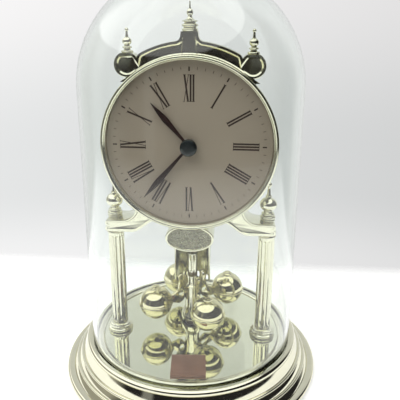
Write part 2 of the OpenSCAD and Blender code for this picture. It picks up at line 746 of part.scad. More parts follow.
// Bell-shaped hub with a flared skirt and the foot pin inside it
module pendulum_bell() color(brass) on_axis(0) rotate_extrude() polygon(concat(
    [[0, tube_z - collar_h], [neck_r, tube_z - collar_h], [neck_r + 0.2, hub_top + 1.6]],
    [[hub_r - 0.6, hub_top + 0.5], [hub_r, hub_top], [hub_r, hub_z]],
    [for (t = [0:10:90]) [hub_r + (bell_r - hub_r) * sin(t), hub_z - (hub_z - bell_z) * (t / 90)]],
    [[bell_r - 0.9, bell_z], [hub_r - 0.9, hub_z - 1.5], [0.8, hub_z - 1.2], [0.8, plate_z + 1.1]],
    [[0, plate_z + 0.9]]));

// Outline of one leaf scroll: radius from the axis across, height above the mirror plate up
module scroll_outline() {
    difference() {
        union() {
            translate([7.2, 31]) circle(r = 2.3);
            polygon(concat(
                arc(hub_r - 1, 21, 1, 90, 90, 1), [[hub_r - 1, 23]],
                arc(7.2, 31, 2.3, -150, -330, 1), [[9.2, 30.2], [8.6, 27], [9.2, 24]],
                arc(13, 24.5, 4, 180, 250, 6), [[ball_ring_r - ball_r + 1.2, ball_rise + 1.8]],
                [[ball_ring_r - ball_r + 1.2, ball_rise - 1.8]],
                arc(11, 19, 6, 250, 200, 6), [[hub_r - 1, 12.5]]));
        }
        translate([7.3, 31]) circle(r = 1.1);
        translate([7.6, 19.6]) circle(r = 1.7);
    }
}

module pendulum_scrolls() color(brass) on_axis(0) difference() {
    for (k = [0:3]) rotate(ball_turn + 90 * k) translate([0, scroll_t / 2, plate_z])
        rotate([90, 0, 0]) linear_extrude(scroll_t) scroll_outline();
    translate([0, 0, plate_z]) cylinder(r = hub_r, h = 40);
    for (k = [0:3]) rotate(ball_turn + 90 * k) translate([ball_ring_r, 0, ball_z])
        sphere(r = ball_r);
}

// Hollow-ball pair with the band at its seam and a button at each pole
module pendulum_ball(k) color(brass) on_axis(ball_z) rotate(ball_turn + 180 + 90 * k)
    translate([ball_ring_r, 0, 0]) {
        sphere(r = ball_r);
        rotate_extrude() translate([ball_r - 0.1, 0]) circle(r = 0.55, $fn = 24);
        for (up = [0, 1]) mirror([0, 0, up]) rotate_extrude() polygon([[0, ball_r - 1],
            [2.5, ball_r - 1], [2.5, ball_r + 0.3], [2.1, ball_r + 0.8 - up * 0.4],
            [1.4, ball_r + 1.7 - up * 0.7], [0, ball_r + 1.7 - up * 0.7]]);
    }

// ---- Dome ----

module glass_dome() color("#dfe8e2", 0.25) translate([0, 0, groove_z]) rotate_extrude()
    polygon(concat(
        arc(dome_r - dome_wall / 2, dome_wall / 2, dome_wall / 2, -180, 0, 6),
        arc(0, dome_h - dome_r, dome_r, 0, 90, 24),
        arc(0, dome_h - dome_r, dome_r - dome_wall, 90, 0, 24)));

felt_pad();
bottom_plate();
ballast_disc();
base_moulding();
mirror_plate();
presentation_plate();
guide_cup();
column(-1);  // column_left
column(1);  // column_right
column_foot(-1);  // column_foot_left
column_foot(1);  // column_foot_right
column_cap(-1);  // column_cap_left
column_cap(1);  // column_cap_right
column_rod(-1);  // column_rod_left
column_rod(1);  // column_rod_right
rod_washers();
rod_nuts();
column_finial(-1);  // column_finial_left
column_finial(1);  // column_finial_right
frame_casting();
ear_finial(-1);  // ear_finial_left
ear_finial(1);  // ear_finial_right
top_finial();
bezel();
dial();
plaque_insert();
movement_drum();
back_cover();
back_cover_screws();
suspension_trough();
movement_case();
movement_lid();
dial_nut();
circuit_board();
drive_coil();
stator();
stepping_rotor();
contact(1);  // contact_positive
contact(-1);  // contact_negative
battery();
hanger_housing();
pendulum_coil();
minute_arbor();
minute_hand();
hand_cap();
hour_wheel();
hour_hand();
minute_wheel();
setting_knob();
glass_dome();
pendulum_hanger();
pendulum_tube();
pendulum_collar();
pendulum_bell();
pendulum_scrolls();
pendulum_ball(0);  // ball_front_left
pendulum_ball(1);  // ball_front_right
pendulum_ball(2);  // ball_back_right
pendulum_ball(3);  // ball_back_left
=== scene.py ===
"""Looks of a glass-domed anniversary clock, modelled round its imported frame. Metres, +Z up, dial faces -Y."""

import math
from contextlib import contextmanager

import bmesh
import bpy
from mathutils import Matrix, Vector


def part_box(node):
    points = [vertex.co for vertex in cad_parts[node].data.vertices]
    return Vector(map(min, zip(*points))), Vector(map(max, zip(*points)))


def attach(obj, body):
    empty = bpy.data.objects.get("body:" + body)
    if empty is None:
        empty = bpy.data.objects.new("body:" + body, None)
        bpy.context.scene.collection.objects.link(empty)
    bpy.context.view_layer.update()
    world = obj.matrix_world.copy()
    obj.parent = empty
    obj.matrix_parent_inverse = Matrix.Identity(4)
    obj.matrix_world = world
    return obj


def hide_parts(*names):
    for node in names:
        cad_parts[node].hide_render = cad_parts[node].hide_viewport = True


bl_info = {
    "name": "Anniversary Clock",
    "version": (1, 0, 0),
    "blender": (4, 5, 0),
    "location": "View3D > Sidebar > Clock",
    "description": "Builds a glass-domed anniversary clock piece by piece",
    "category": "Add Mesh",
}

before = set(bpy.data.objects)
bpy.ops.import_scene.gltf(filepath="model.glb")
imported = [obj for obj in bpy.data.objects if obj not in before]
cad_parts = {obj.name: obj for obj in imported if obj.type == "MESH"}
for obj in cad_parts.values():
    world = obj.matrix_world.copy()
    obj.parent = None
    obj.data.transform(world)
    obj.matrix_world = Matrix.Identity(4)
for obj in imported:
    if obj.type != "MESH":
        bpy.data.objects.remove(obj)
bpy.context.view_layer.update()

MM = 0.001
DOUBLE = 0.001 * MM  # vertices nearer than this are one
UP = Vector((0, 0, 1))
FRONT = Vector((0, -1, 0))


# ---- Places taken from the frame ----


def lowest(node):
    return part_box(node)[0]


def highest(node):
    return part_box(node)[1]


def middle(node):
    low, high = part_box(node)
    return (low + high) / 2


def across(node):
    """Half the width of a node along X, its radius when it is round about a vertical or a Y axis."""
    low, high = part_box(node)
    return (high.x - low.x) / 2


BASE_R = across("base_moulding")
BASE_LOW, BASE_TOP = lowest("base_moulding").z, highest("base_moulding").z
PLATE_R, PLATE_Z, DECK_Z = across("mirror_plate"), highest("mirror_plate").z, lowest("mirror_plate").z
DOME_R, DOME_LOW, DOME_TOP = across("glass_dome"), lowest("glass_dome").z, highest("glass_dome").z
DIAL = middle("dial")
DIAL_Y = lowest("dial").y
FRAME_Y = highest("dial").y
BEZEL_R = across("bezel")
BEZEL_Y = lowest("bezel").y
COLUMN_X, COLUMN_Y = middle("column_right").x, middle("column_right").y
COLUMN_R = across("column_right")
ARM_LOW, ARM_TOP = highest("column_right").z, lowest("column_finial_right").z
FRAME_BACK = highest("frame_casting").y
PEND_Y = middle("pendulum_tube").y


# ---- Sizes and colours a user would change ----


def length(name, text, mm):
    """A length property with its default in millimetres."""
    return bpy.props.FloatProperty(name=name, description=text, default=mm * MM, min=0, precision=5, unit="LENGTH")


def colour(name, text, rgb):
    return bpy.props.FloatVectorProperty(name=name, description=text, default=rgb, min=0, max=1, subtype="COLOR")


class ClockSizes(bpy.types.PropertyGroup):
    """Sizes of the visible details"""

    spin_steps: bpy.props.IntProperty(
        name="Turning steps", description="Faces round a large turned piece", default=160, min=24, max=400)
    small_steps: bpy.props.IntProperty(
        name="Small turning steps", description="Faces round a small turned piece", default=64, min=16, max=200)
    numeral_inner: length("Numeral foot", "Distance of the numerals' feet from the dial centre", 23)
    numeral_outer: length("Numeral head", "Distance of the numerals' heads from the dial centre", 36.7)
    track_inner: length("Track inner", "Distance of the five-minute marks' inner ends from the centre", 38.4)
    track_outer: length("Track outer", "Distance of the minute marks' outer ends from the centre", 40.6)
    ink: length("Ink", "Thickness of the printing on the dial", 0.03)
    rim: length("Frame rim", "Width of the raised rim round the frame's front", 1.3)
    rim_drop: length("Rim drop", "Depth of the field inside the frame's rim", 0.8)


class ClockColours(bpy.types.PropertyGroup):
    """Colours of the finishes"""

    gilt: colour("Gilt", "Pale gold plating", (0.76, 0.745, 0.595))
    # Balls and leaf scrolls: a deeper gold, also made darker than the gilt as painted shade for the shadowed middle of
    # the pendulum.
    gilt_warm_shaded: colour("Warm gilt", "Deeper gold of the pendulum balls", (0.74, 0.70, 0.46))
    mirror: colour("Mirror plate", "Polished plate inside the base", (0.78, 0.785, 0.62))
    old_brass: colour("Dull brass", "Collar and cup", (0.20, 0.17, 0.09))
    copper: colour("Copper", "Small bare engraving plate", (0.27, 0.125, 0.072))
    cream: colour("Cream", "Dial paint", (0.40, 0.335, 0.262))
    ink: colour("Ink", "Numerals and minute marks", (0.035, 0.018, 0.014))
    hand: colour("Hand", "Hands", (0.022, 0.009, 0.008))
    glass: colour("Glass", "Tint of the dome", (0.965, 0.99, 0.975))
    floor: colour("Floor", "Pale floor", (0.93, 0.93, 0.93))


def sizes():
    return bpy.context.scene.clock_sizes


def colours():
    return bpy.context.scene.clock_colours


# ---- Outlines: points of radius and height, or of X and height ----


def arc(x, y, r, start, end, n=8):
    """Points along an arc about (x, y) from one angle to another, in degrees."""
    turns = [math.radians(start + (end - start) * i / n) for i in range(n + 1)]
    return [(x + r * math.cos(a), y + r * math.sin(a)) for a in turns]


def bow(start, end, sag, n=6):
    """Points from start to end that bow to the left of the way by sag."""
    way = Vector(end) - Vector(start)
    side = Vector((-way.y, way.x)).normalized()
    shares = [i / n for i in range(n + 1)]
    return [tuple(Vector(start) + way * t + side * (4 * sag * t * (1 - t))) for t in shares]


def bezier(a, b, c, d, n=12):
    """Points of a cubic curve with end points a and d."""
    out = []
    for i in range(n + 1):
        t = i / n
        s = 1 - t
        weights = (s * s * s, 3 * s * s * t, 3 * s * t * t, t * t * t)
        out.append(tuple(sum(w * p[k] for w, p in zip(weights, (a, b, c, d))) for k in (0, 1)))
    return out


def oval(a, b, n=72):
    return [(a * math.cos(math.tau * i / n), b * math.sin(math.tau * i / n)) for i in range(n)]


def polar(x, y, r, degrees):
    """The point at a distance and an angle from (x, y)."""
    return x + r * math.cos(math.radians(degrees)), y + r * math.sin(math.radians(degrees))


def in_mm(points):
    return [(a * MM, b * MM) for a, b in points]


def shifted(points, dx, dy):
    return [(a + dx, b + dy) for a, b in points]


def mirrored(points):
    return [(-a, b) for a, b in points]


def crossing(c1, r1, c2, r2, side):
    """Where two circles cross, on the left (side 1) or right (side -1) of the way from c1 to c2."""
    c1, c2 = Vector(c1), Vector(c2)
    way = c2 - c1
    d = way.length
    along = (r1 * r1 - r2 * r2 + d * d) / (2 * d)
    off = math.sqrt(max(r1 * r1 - along * along, 0))
    way.normalize()
    return c1 + way * along + Vector((-way.y, way.x)) * (side * off)


def angle_of(point, centre):
    d = Vector(point) - Vector(centre)
    return math.degrees(math.atan2(d.y, d.x))


# ---- Modelling by hand ----


def deselect():
    if bpy.context.object and bpy.context.object.mode != "OBJECT":
        bpy.ops.object.mode_set(mode="OBJECT")
    bpy.ops.object.select_all(action="DESELECT")


def pick(*pieces):
    """Selects only these pieces, and makes the first the active one."""
    deselect()
    for piece in pieces:
        piece.select_set(True)
    bpy.context.view_layer.objects.active = pieces[0]


def select_all(action="SELECT"):
    bpy.ops.mesh.select_all(action=action)


@contextmanager
def editing(piece):
    """Edit mode on one piece, with all of its mesh selected."""
    pick(piece)
    bpy.ops.object.mode_set(mode="EDIT")
    select_all()
    yield piece
    bpy.ops.object.mode_set(mode="OBJECT")


def drawn(name, points):
    """A line through points in space, drawn by extruding one vertex; left in edit mode, all selected."""
    deselect()
    bpy.ops.mesh.primitive_plane_add(size=MM, location=points[0])
    piece = bpy.context.object
    piece.name = name
    bpy.ops.object.transform_apply(location=True, rotation=False, scale=False)
    bpy.ops.object.mode_set(mode="EDIT")
    bpy.ops.mesh.select_mode(type="VERT")
    select_all()
    bpy.ops.mesh.merge(type="CENTER")
    for a, b in zip(points, points[1:]):
        step = Vector(b) - Vector(a)
        bpy.ops.mesh.extrude_vertices_move(TRANSFORM_OT_translate={"value": step})
    select_all()
    return piece


def choose(piece, faces=None, edges=None, verts=None):
    """In edit mode, selects only the faces, edges or vertices that pass a test."""
    mode = "FACE" if faces else "EDGE" if edges else "VERT"
    bpy.ops.mesh.select_mode(type=mode)
    select_all("DESELECT")
    shape = bmesh.from_edit_mesh(piece.data)
    shape.normal_update()
    parts = shape.faces if faces else shape.edges if edges else shape.verts
    test = faces or edges or verts
    for part in parts:
        if test(part):
            part.select_set(True)
    shape.select_flush_mode()
    bmesh.update_edit_mesh(piece.data)


def closed(piece):
    """Merges doubles and turns all faces outwards, then leaves edit mode."""
    bpy.ops.mesh.select_mode(type="VERT")
    select_all()
    bpy.ops.mesh.remove_doubles(threshold=DOUBLE)
    bpy.ops.mesh.dissolve_degenerate(threshold=DOUBLE / 2)
    bpy.ops.mesh.delete_loose(use_verts=True, use_edges=True, use_faces=False)
    select_all()
    bpy.ops.mesh.normals_make_consistent(inside=False)
    bpy.ops.object.mode_set(mode="OBJECT")
    return piece


def smooth(piece, degrees=35):
    pick(piece)
    bpy.ops.object.shade_smooth_by_angle(angle=math.radians(degrees))
    return piece


def soften(piece, width, segments=2, degrees=40, shading=50):
    """Rounds the edges sharper than degrees, and smooths the piece up to the angle shading."""
    pick(piece)
    bpy.ops.object.modifier_add(type="BEVEL")
    bevel = piece.modifiers[-1]
    bevel.width, bevel.segments = width, segments
    bevel.limit_method, bevel.angle_limit = "ANGLE", math.radians(degrees)
    bpy.ops.object.modifier_apply(modifier=bevel.name)
    return smooth(piece, shading)


def turned(name, outline, centre, axis=UP, steps=None):
    """A piece turned on a lathe: outline is radius and height in metres along axis from centre."""
    side = Vector((1, 0, 0))
    centre = Vector(centre)
    points = [centre + side * r + axis * h for r, h in outline]
    piece = drawn(name, points)
    bpy.ops.mesh.spin(steps=steps or sizes().small_steps, angle=math.tau, center=centre, axis=axis)
    return smooth(closed(piece))


def extruded(name, outline, way):
    """A closed outline in space, filled and drawn out along way."""
    piece = drawn(name, outline)
    bpy.ops.mesh.edge_face_add()
    bpy.ops.mesh.extrude_region_move(TRANSFORM_OT_translate={"value": way})
    return closed(piece)


def sawn(name, outline, front, back):
    """A plate with a closed outline of X and height, from the plane front to the plane back."""
    return extruded(name, [(x, front, z) for x, z in outline], (0, back - front, 0))


def stepped(piece, test, *steps):
    """Insets the faces that pass a test, by a width and a depth for each step."""
    with editing(piece):
        choose(piece, faces=test)
        for width, depth in steps:
            bpy.ops.mesh.inset(thickness=width, depth=depth)
    return piece


def faces_front(face):
    return face.normal.y < -0.9


def rimmed(piece, front, rim, wall, drop):
    """Sinks the field of a plate's front face, and leaves a rim round it."""

    def in_front(face):
        return faces_front(face) and abs(face.calc_center_median().y - front) < 10 * DOUBLE

    return stepped(piece, in_front, (rim, 0), (wall, -drop))


def copy_of(piece, name):
    """A copy with a mesh of its own."""
    pick(piece)
    bpy.ops.object.duplicate(linked=False)
    twin = bpy.context.object
    twin.name = name
    return twin


def turn(piece, degrees, axis, centre):
    """Turns a piece about a point, in its mesh."""
    with editing(piece):
        bpy.ops.transform.rotate(value=-math.radians(degrees), orient_axis=axis, center_override=centre)
    return piece


def shift(piece, way):
    with editing(piece):
        bpy.ops.transform.translate(value=way)
    return piece


def flipped(piece, name):
    """The mirror image of a piece across the plane X = 0."""
    with editing(copy_of(piece, name)) as twin:
        bpy.ops.transform.resize(value=(-1, 1, 1), center_override=(0, 0, 0))
        bpy.ops.mesh.normals_make_consistent(inside=False)
    return twin


def joined(name, *pieces):
    pick(*pieces)
    bpy.ops.object.join()
    bpy.context.object.name = name
    return bpy.context.object


def dressed(name, node, width, degrees=32):
    """A copy of a CAD node, its loose triangles merged into a clean skin with softened edges."""
    with editing(copy_of(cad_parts[node], name)) as piece:
        bpy.ops.mesh.select_mode(type="VERT")
        select_all()
        bpy.ops.mesh.remove_doubles(threshold=2 * DOUBLE)
        select_all()
        bpy.ops.mesh.dissolve_limited(angle_limit=math.radians(1))
    return soften(piece, width, 2, degrees, degrees)


def fitted(piece, finish, body, *nodes):
    """Gives a finished piece its material and body, and lets it stand for CAD nodes."""
    piece.data.materials.clear()
    piece.data.materials.append(MATERIALS[finish])
    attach(piece, body)
    if nodes:
        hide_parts(*nodes)
    return piece


def fitted_pair(right, x, node):
    """Fits a plated piece on the stand at the right, and a copy of it as far out at the left."""
    left = shift(copy_of(right, right.name.replace("right", "left")), (-2 * x, 0, 0))
    for piece, side in ((right, "right"), (left, "left")):
        fitted(piece, "gilt", "stand", f"{node}_{side}")


# ---- Materials ----


class Tree:
    """A node tree under construction."""

    def __init__(self, tree):
        self.nodes, self.links = tree.nodes, tree.links

    def feed(self, socket, value):
        """Gives a socket a value or a colour, or links another node's output to it."""
        if isinstance(value, bpy.types.NodeSocket):
            self.links.new(value, socket)
        elif socket.type == "RGBA" and len(value) == 3:
            socket.default_value = (*value, 1)
        else:
            socket.default_value = value

    def add(self, kind, inputs, **settings):
        """Adds a node, and feeds its inputs by name or number."""
        node = self.nodes.new("ShaderNode" + kind)
        for key, value in settings.items():
            setattr(node, key, value)
        for key, value in inputs.items():
            self.feed(node.inputs[key], value)
        return node

    def maths(self, kind, *values):
        return self.add("Math", dict(enumerate(values)), operation=kind).outputs[0]

    def spread(self, source, low, high, start=0.3, end=0.7, kind="LINEAR"):
        return self.add("MapRange", {"Value": source, "From Min": start, "From Max": end,
                                     "To Min": low, "To Max": high}, interpolation_type=kind).outputs["Result"]


class Finish(Tree):
    """A node material under construction, with its Principled shader."""

    def __init__(self, name):
        self.material = bpy.data.materials.new(name)
        self.material.use_nodes = True
        super().__init__(self.material.node_tree)
        self.shader = self.nodes["Principled BSDF"]
        self.place = self.add("TexCoord", {}).outputs["Object"]

    def set(self, **values):
        for key, value in values.items():
            self.feed(self.shader.inputs[key.replace("_", " ").title().replace("Ior", "IOR")], value)
        return self

    def mapped(self, scale):
        return self.add("Mapping", {"Scale": scale, "Vector": self.place}).outputs["Vector"]

    def noise(self, scale, detail=3.0, stretch=(1, 1, 1)):
        return self.add("TexNoise", {"Scale": scale, "Detail": detail, "Roughness": 0.55,
                                     "Vector": self.mapped(stretch)}).outputs["Fac"]

    def wave(self, scale, stretch, distortion, direction):
        return self.add("TexWave", {"Scale": scale, "Distortion": distortion, "Vector": self.mapped(stretch)},
                        bands_direction=direction).outputs["Fac"]

    def tint(self, source, base, amount, start=0.3, end=0.7):
        """Colour that wanders by amount about base."""
        ramp = self.add("ValToRGB", {"Fac": source})
        ends = ramp.color_ramp.elements
        ends[0].position, ends[1].position = start, end
        ends[0].color = (*[c * (1 - amount) for c in base], 1)
        ends[1].color = (*[min(c * (1 + amount), 1) for c in base], 1)
        return self.set(base_color=ramp.outputs["Color"])

    def rough(self, source, low, high):
        return self.set(roughness=self.spread(source, low, high))

    def relief(self, source, height, strength=1.0):
        bump = self.add("Bump", {"Strength": strength, "Distance": height, "Height": source})
        return self.set(normal=bump.outputs["Normal"])


def speckled(name, base, tint, rough=None, relief=None, **values):
    """A finish made of plain noise. Each layer starts with the noise's scale and detail, then has the share of
    tint, the lowest and highest roughness, or the height and strength of the relief."""
    finish = Finish(name).set(**values)
    finish.tint(finish.noise(*tint[:2]), base, tint[2])
    if rough:
        finish.rough(finish.noise(*rough[:2]), *rough[2:])
    if relief:
        finish.relief(finish.noise(*relief[:2]), *relief[2:])
    return finish.material


def plating(name, base, low, high, ripple):
    """Polished plating: faint smudges, slight tone changes and a trace of ripple."""
    return speckled(name, base, (60, 3, 0.035), (220, 5, low, high), (90, 2, ripple * MM, 0.25), metallic=1.0)


def moulded(name, base, roughness=0.42):
    """Moulded plastic with a fine spark-eroded grain."""
    return speckled(name, base, (300, 3, 0.12), (900, 3, roughness - 0.07, roughness + 0.08),
                    (2400, 3, 0.02 * MM, 0.5))


def ink(name, base):
    return speckled(name, base, (900, 2, 0.2), (700, 2, 0.42, 0.58))


def satin_plating(name, base):
    """Plating with a soft brushed grain along Z."""
    finish = Finish(name).set(metallic=1.0)
    finish.tint(finish.noise(40, 3), base, 0.04)
    grain = finish.noise(900, 3, (1, 1, 0.03))
    return finish.rough(grain, 0.12, 0.24).relief(grain, 0.01 * MM, 0.35).material


def engraved_plating(name, base):
    """Plating with fine wandering tool marks cut in it."""
    finish = Finish(name).set(metallic=1.0)
    marks = finish.wave(420, (1, 1, 1.6), 9.0, "Z")
    finish.tint(marks, base, 0.3).rough(finish.noise(500, 3), 0.18, 0.32)
    return finish.relief(marks, 0.12 * MM, 0.6).material


def brushed_copper(name, base):
    """Brown copper plate with fine brushing across it."""
    finish = Finish(name).set(metallic=0.75)
    grain = finish.noise(700, 4, (0.05, 1, 1))
    return finish.tint(grain, base, 0.22).rough(grain, 0.28, 0.42).relief(grain, 0.02 * MM, 0.5).material


def clear_glass(name, base):
    finish = Finish(name).set(base_color=base, roughness=0.0, ior=1.47, transmission_weight=1.0)
    return finish.relief(finish.noise(14, 1), 0.02 * MM, 0.15).material


def plain_steel(name, base):
    finish = Finish(name).set(metallic=1.0)
    finish.tint(finish.noise(200, 3), base, 0.08)
    return finish.rough(finish.noise(900, 3, (1, 1, 0.1)), 0.22, 0.36).material


def wound_wire(name, base):
    """Enamelled copper wire, one turn beside the next."""
    finish = Finish(name).set(metallic=0.9, coat_weight=0.5, coat_roughness=0.15)
    turns = finish.wave(900, (1, 0, 0), 0.2, "X")
    finish.tint(turns, base, 0.3).rough(finish.noise(500, 2), 0.25, 0.35)
    return finish.relief(turns, 0.08 * MM, 0.8).material


MATERIALS = {}


def make_materials():
    c = colours()
    MATERIALS.update({
        "gilt": plating("gilt_plating", c.gilt, 0.035, 0.10, 0.04),
        # Darker copy of the gilt plating for the balls and scrolls: deeper gold, partly painted shade of the
        # pendulum's shadowed middle.
        "ball": plating("ball_plating", c.gilt_warm_shaded, 0.025, 0.06, 0.02),
        "mirror": plating("mirror_plate_polish", c.mirror, 0.03, 0.07, 0.015),
        "satin": satin_plating("satin_plating", c.gilt),
        "engraved": engraved_plating("engraved_plating", [x * 0.55 for x in c.gilt]),
        "old_brass": speckled("dull_brass", c.old_brass, (300, 4, 0.25), (500, 4, 0.25, 0.45), metallic=1.0),
        "copper": brushed_copper("brown_copper", c.copper),
        "cream": speckled("dial_cream_paint", c.cream, (28, 2, 0.035), None, (2600, 3, 0.012 * MM, 0.5),
                          roughness=0.62),
        "ink": ink("dial_ink", c.ink),
        "fine_ink": ink("fine_dial_ink", [x * 2 + 0.03 for x in c.ink]),
        "hand": speckled("hand_lacquer", c.hand, (500, 3, 0.2), (600, 3, 0.3, 0.45), specular_ior_level=0.25),
        "gloss": speckled("cap_gloss", (0.006, 0.010, 0.011), (400, 3, 0.2), (900, 4, 0.16, 0.28),
                          coat_weight=0.6, coat_roughness=0.08),
        "glass": clear_glass("dome_glass_clear", c.glass),
        "felt": speckled("green_felt", (0.03, 0.045, 0.035), (700, 5, 0.35), None, (1500, 5, 0.15 * MM, 0.8),
                         roughness=0.95, sheen_weight=0.4, sheen_roughness=0.6),
        "steel": plain_steel("plain_steel", (0.56, 0.57, 0.58)),
        "iron": speckled("ballast_casting", (0.12, 0.12, 0.125), (400, 5, 0.3), (700, 4, 0.55, 0.75),
                         (500, 5, 0.1 * MM, 0.7), metallic=0.6),
        "black": moulded("black_moulding", (0.022, 0.022, 0.024)),
        "white": moulded("white_moulding", (0.72, 0.69, 0.6)),
        "board": moulded("green_board", (0.05, 0.16, 0.08), 0.3),
        "wire": wound_wire("enamelled_wire", (0.5, 0.2, 0.09)),
        "jacket": moulded("battery_jacket_plain", (0.07, 0.08, 0.1), 0.25),
    })


# ---- Operators ----


class Maker:
    """What every step of the clock shares."""

    bl_options = {"REGISTER", "UNDO"}


class CLOCK_OT_base(Maker, bpy.types.Operator):
    """Turn the stepped base, its mirror plate and the bead between them"""

    bl_idname = "clock.base"
    bl_label = "Stepped base"

    def execute(self, context):
        steps = sizes().spin_steps
        outline = self.outline()
        base = turned("stepped_base", outline, (0, 0, 0), UP, steps)
        fitted(base, "gilt", "stand", "base_moulding")
        edge = 0.2 * MM
        plate = turned("polished_plate", [
            (0, DECK_Z), (PLATE_R, DECK_Z), (PLATE_R, PLATE_Z - edge), (PLATE_R - edge, PLATE_Z), (0, PLATE_Z),
        ], (0, 0, 0), UP, steps)
        fitted(plate, "mirror", "stand", "mirror_plate")
        return {"FINISHED"}

    @staticmethod
    def outline():
        """Radius and height from the axis over the top and down to the foot, then back inside."""
        seat = PLATE_R + 0.1 * MM
        groove_in, groove_out = DOME_R - 2.5 * MM, DOME_R + 0.5 * MM
        groove_low = DOME_LOW
        bead_h = BASE_TOP - PLATE_Z
        bead = [((seat + groove_in) / 2 - (groove_in - seat) / 2 * math.cos(math.radians(a)),
                 PLATE_Z + bead_h * math.sin(math.radians(a))) for a in range(0, 181, 12)]
        shoulder_lip, lip, foot_lip = 2.2 * MM, 0.9 * MM, 1.8 * MM
        shoulder_r, shoulder_z = groove_out + 3.3 * MM, PLATE_Z + 0.4 * MM
        foot_r, foot_top = BASE_R - foot_lip, BASE_LOW + 2 * foot_lip
        step2_r, step1_r = shoulder_r + 3.7 * MM, shoulder_r + 6.6 * MM
        rise = (shoulder_z - foot_top) / 4
        step1_z, step2_z = foot_top + rise, foot_top + 2 * rise
        points = [(0, DECK_Z), (seat, DECK_Z)] + bead
        points += [(groove_in, groove_low), (groove_out, groove_low), (groove_out, shoulder_z)]
        points += arc(shoulder_r - shoulder_lip, shoulder_z - shoulder_lip, shoulder_lip, 90, -20, 12)
        for r, z in ((step2_r, step2_z), (step1_r, step1_z)):
            points += bow(points[-1], (r - 1.7 * lip, z - 0.05 * MM), 0.12 * MM)[1:]
            points += arc(r - lip, z - lip, lip, 90, -50, 10)
        points += bow(points[-1], (foot_r - 2.4 * MM, foot_top - 0.1 * MM), 0.12 * MM)[1:]
        points += arc(foot_r, foot_top - foot_lip, foot_lip, 100, -90, 14)
        wall = 2 * MM
        points += [(foot_r - 2 * wall, BASE_LOW), (foot_r - 2 * wall, foot_top - wall)]
        points += [(step1_r - 1.5 * wall, step1_z - wall), (step2_r - 1.5 * wall, step2_z - wall)]
        points += [(shoulder_r - wall, groove_low - wall), (seat, groove_low - wall), (0, DECK_Z - wall)]
        return points


class CLOCK_OT_columns(Maker, bpy.types.Operator):
    """Model the fluted columns with their feet and caps"""

    bl_idname = "clock.columns"
    bl_label = "Fluted columns"

    def execute(self, context):
        low, high = lowest("column_right").z, highest("column_right").z
        foot_top, cap_low = highest("column_foot_right").z, lowest("column_cap_right").z
        right = fluted("fluted_column_right", (COLUMN_X, COLUMN_Y), COLUMN_R, low, high,
                       foot_top + 1.6 * MM, cap_low - 1.6 * MM, 12, 0.62 * MM)
        foot = turned("moulded_foot_right", in_mm([
            (4.65, 0), (6.7, 0), (7.3, 0.3), (7.55, 0.8), (7.6, 1.1), (7.45, 1.6), (7.0, 1.95), (6.75, 2.1),
            (6.8, 2.3), (7.1, 2.5), (7.2, 2.85), (7.05, 3.25), (6.6, 3.5), (6.2, 3.6), (6.15, 3.8), (6.3, 4.05),
            (6.2, 4.35), (5.7, 4.6), (5.1, 4.75), (4.65, 4.8), (4.65, 0)]), (COLUMN_X, COLUMN_Y, PLATE_Z))
        cap = turned("moulded_cap_right", in_mm([
            (4.65, 0), (4.8, 0.02), (5.05, 0.15), (5.2, 0.45), (5.2, 0.75), (5.05, 1.1), (4.85, 1.3), (4.8, 1.5),
            (4.9, 1.75), (5.1, 1.9), (5.2, 2.1), (5.2, 2.8), (5.1, 3.0), (4.65, 3.0), (4.65, 0)]),
            (COLUMN_X, COLUMN_Y, cap_low))
        for piece, part in ((right, "column"), (foot, "column_foot"), (cap, "column_cap")):
            fitted_pair(piece, COLUMN_X, part)
        return {"FINISHED"}


def fluted(name, axis, radius, low, high, flute_low, flute_high, flutes, depth, scoop=MM):
    """A round shaft with hollow flutes that end in a rounded scoop."""
    shape = (0.0, 0.0, 0.55, 0.88, 1.0, 0.88, 0.55, 0.0)
    around = len(shape) * flutes
    ends = (0.0, 0.5, 0.8, 1.0)
    rings = [(low, 0.0)] + [(flute_low + scoop * e, e) for e in ends]
    rings += [(flute_high - scoop * e, e) for e in reversed(ends)] + [(high, 0.0)]
    deselect()
    bpy.ops.mesh.primitive_circle_add(vertices=around, radius=radius, location=(*axis, low))
    piece = bpy.context.object
    piece.name = name
    bpy.ops.object.transform_apply(location=True, rotation=False, scale=False)
    bpy.ops.object.mode_set(mode="EDIT")
    for (z0, _), (z1, _) in zip(rings, rings[1:]):
        bpy.ops.mesh.select_mode(type="VERT")
        bpy.ops.mesh.extrude_region_move(TRANSFORM_OT_translate={"value": (0, 0, z1 - z0)})
    cuts = [(phase, share, z, deep) for phase, share in enumerate(shape) if share for z, deep in rings if deep]
    for phase, share, z, deep in cuts:
        scale = 1 - depth * share * deep ** 0.5 / radius

        def in_flute(v, z=z, phase=phase):
            turn_share = math.atan2(v.co.y - axis[1], v.co.x - axis[0]) / math.tau * around
            return abs(v.co.z - z) < DOUBLE and round(turn_share) % len(shape) == phase

        choose(piece, verts=in_flute)
        bpy.ops.transform.resize(value=(scale, scale, 1), center_override=(*axis, z))
    for z in (low, high):
        choose(piece, verts=lambda v, z=z: abs(v.co.z - z) < DOUBLE)
        bpy.ops.mesh.edge_face_add()
    return smooth(closed(piece), 32)


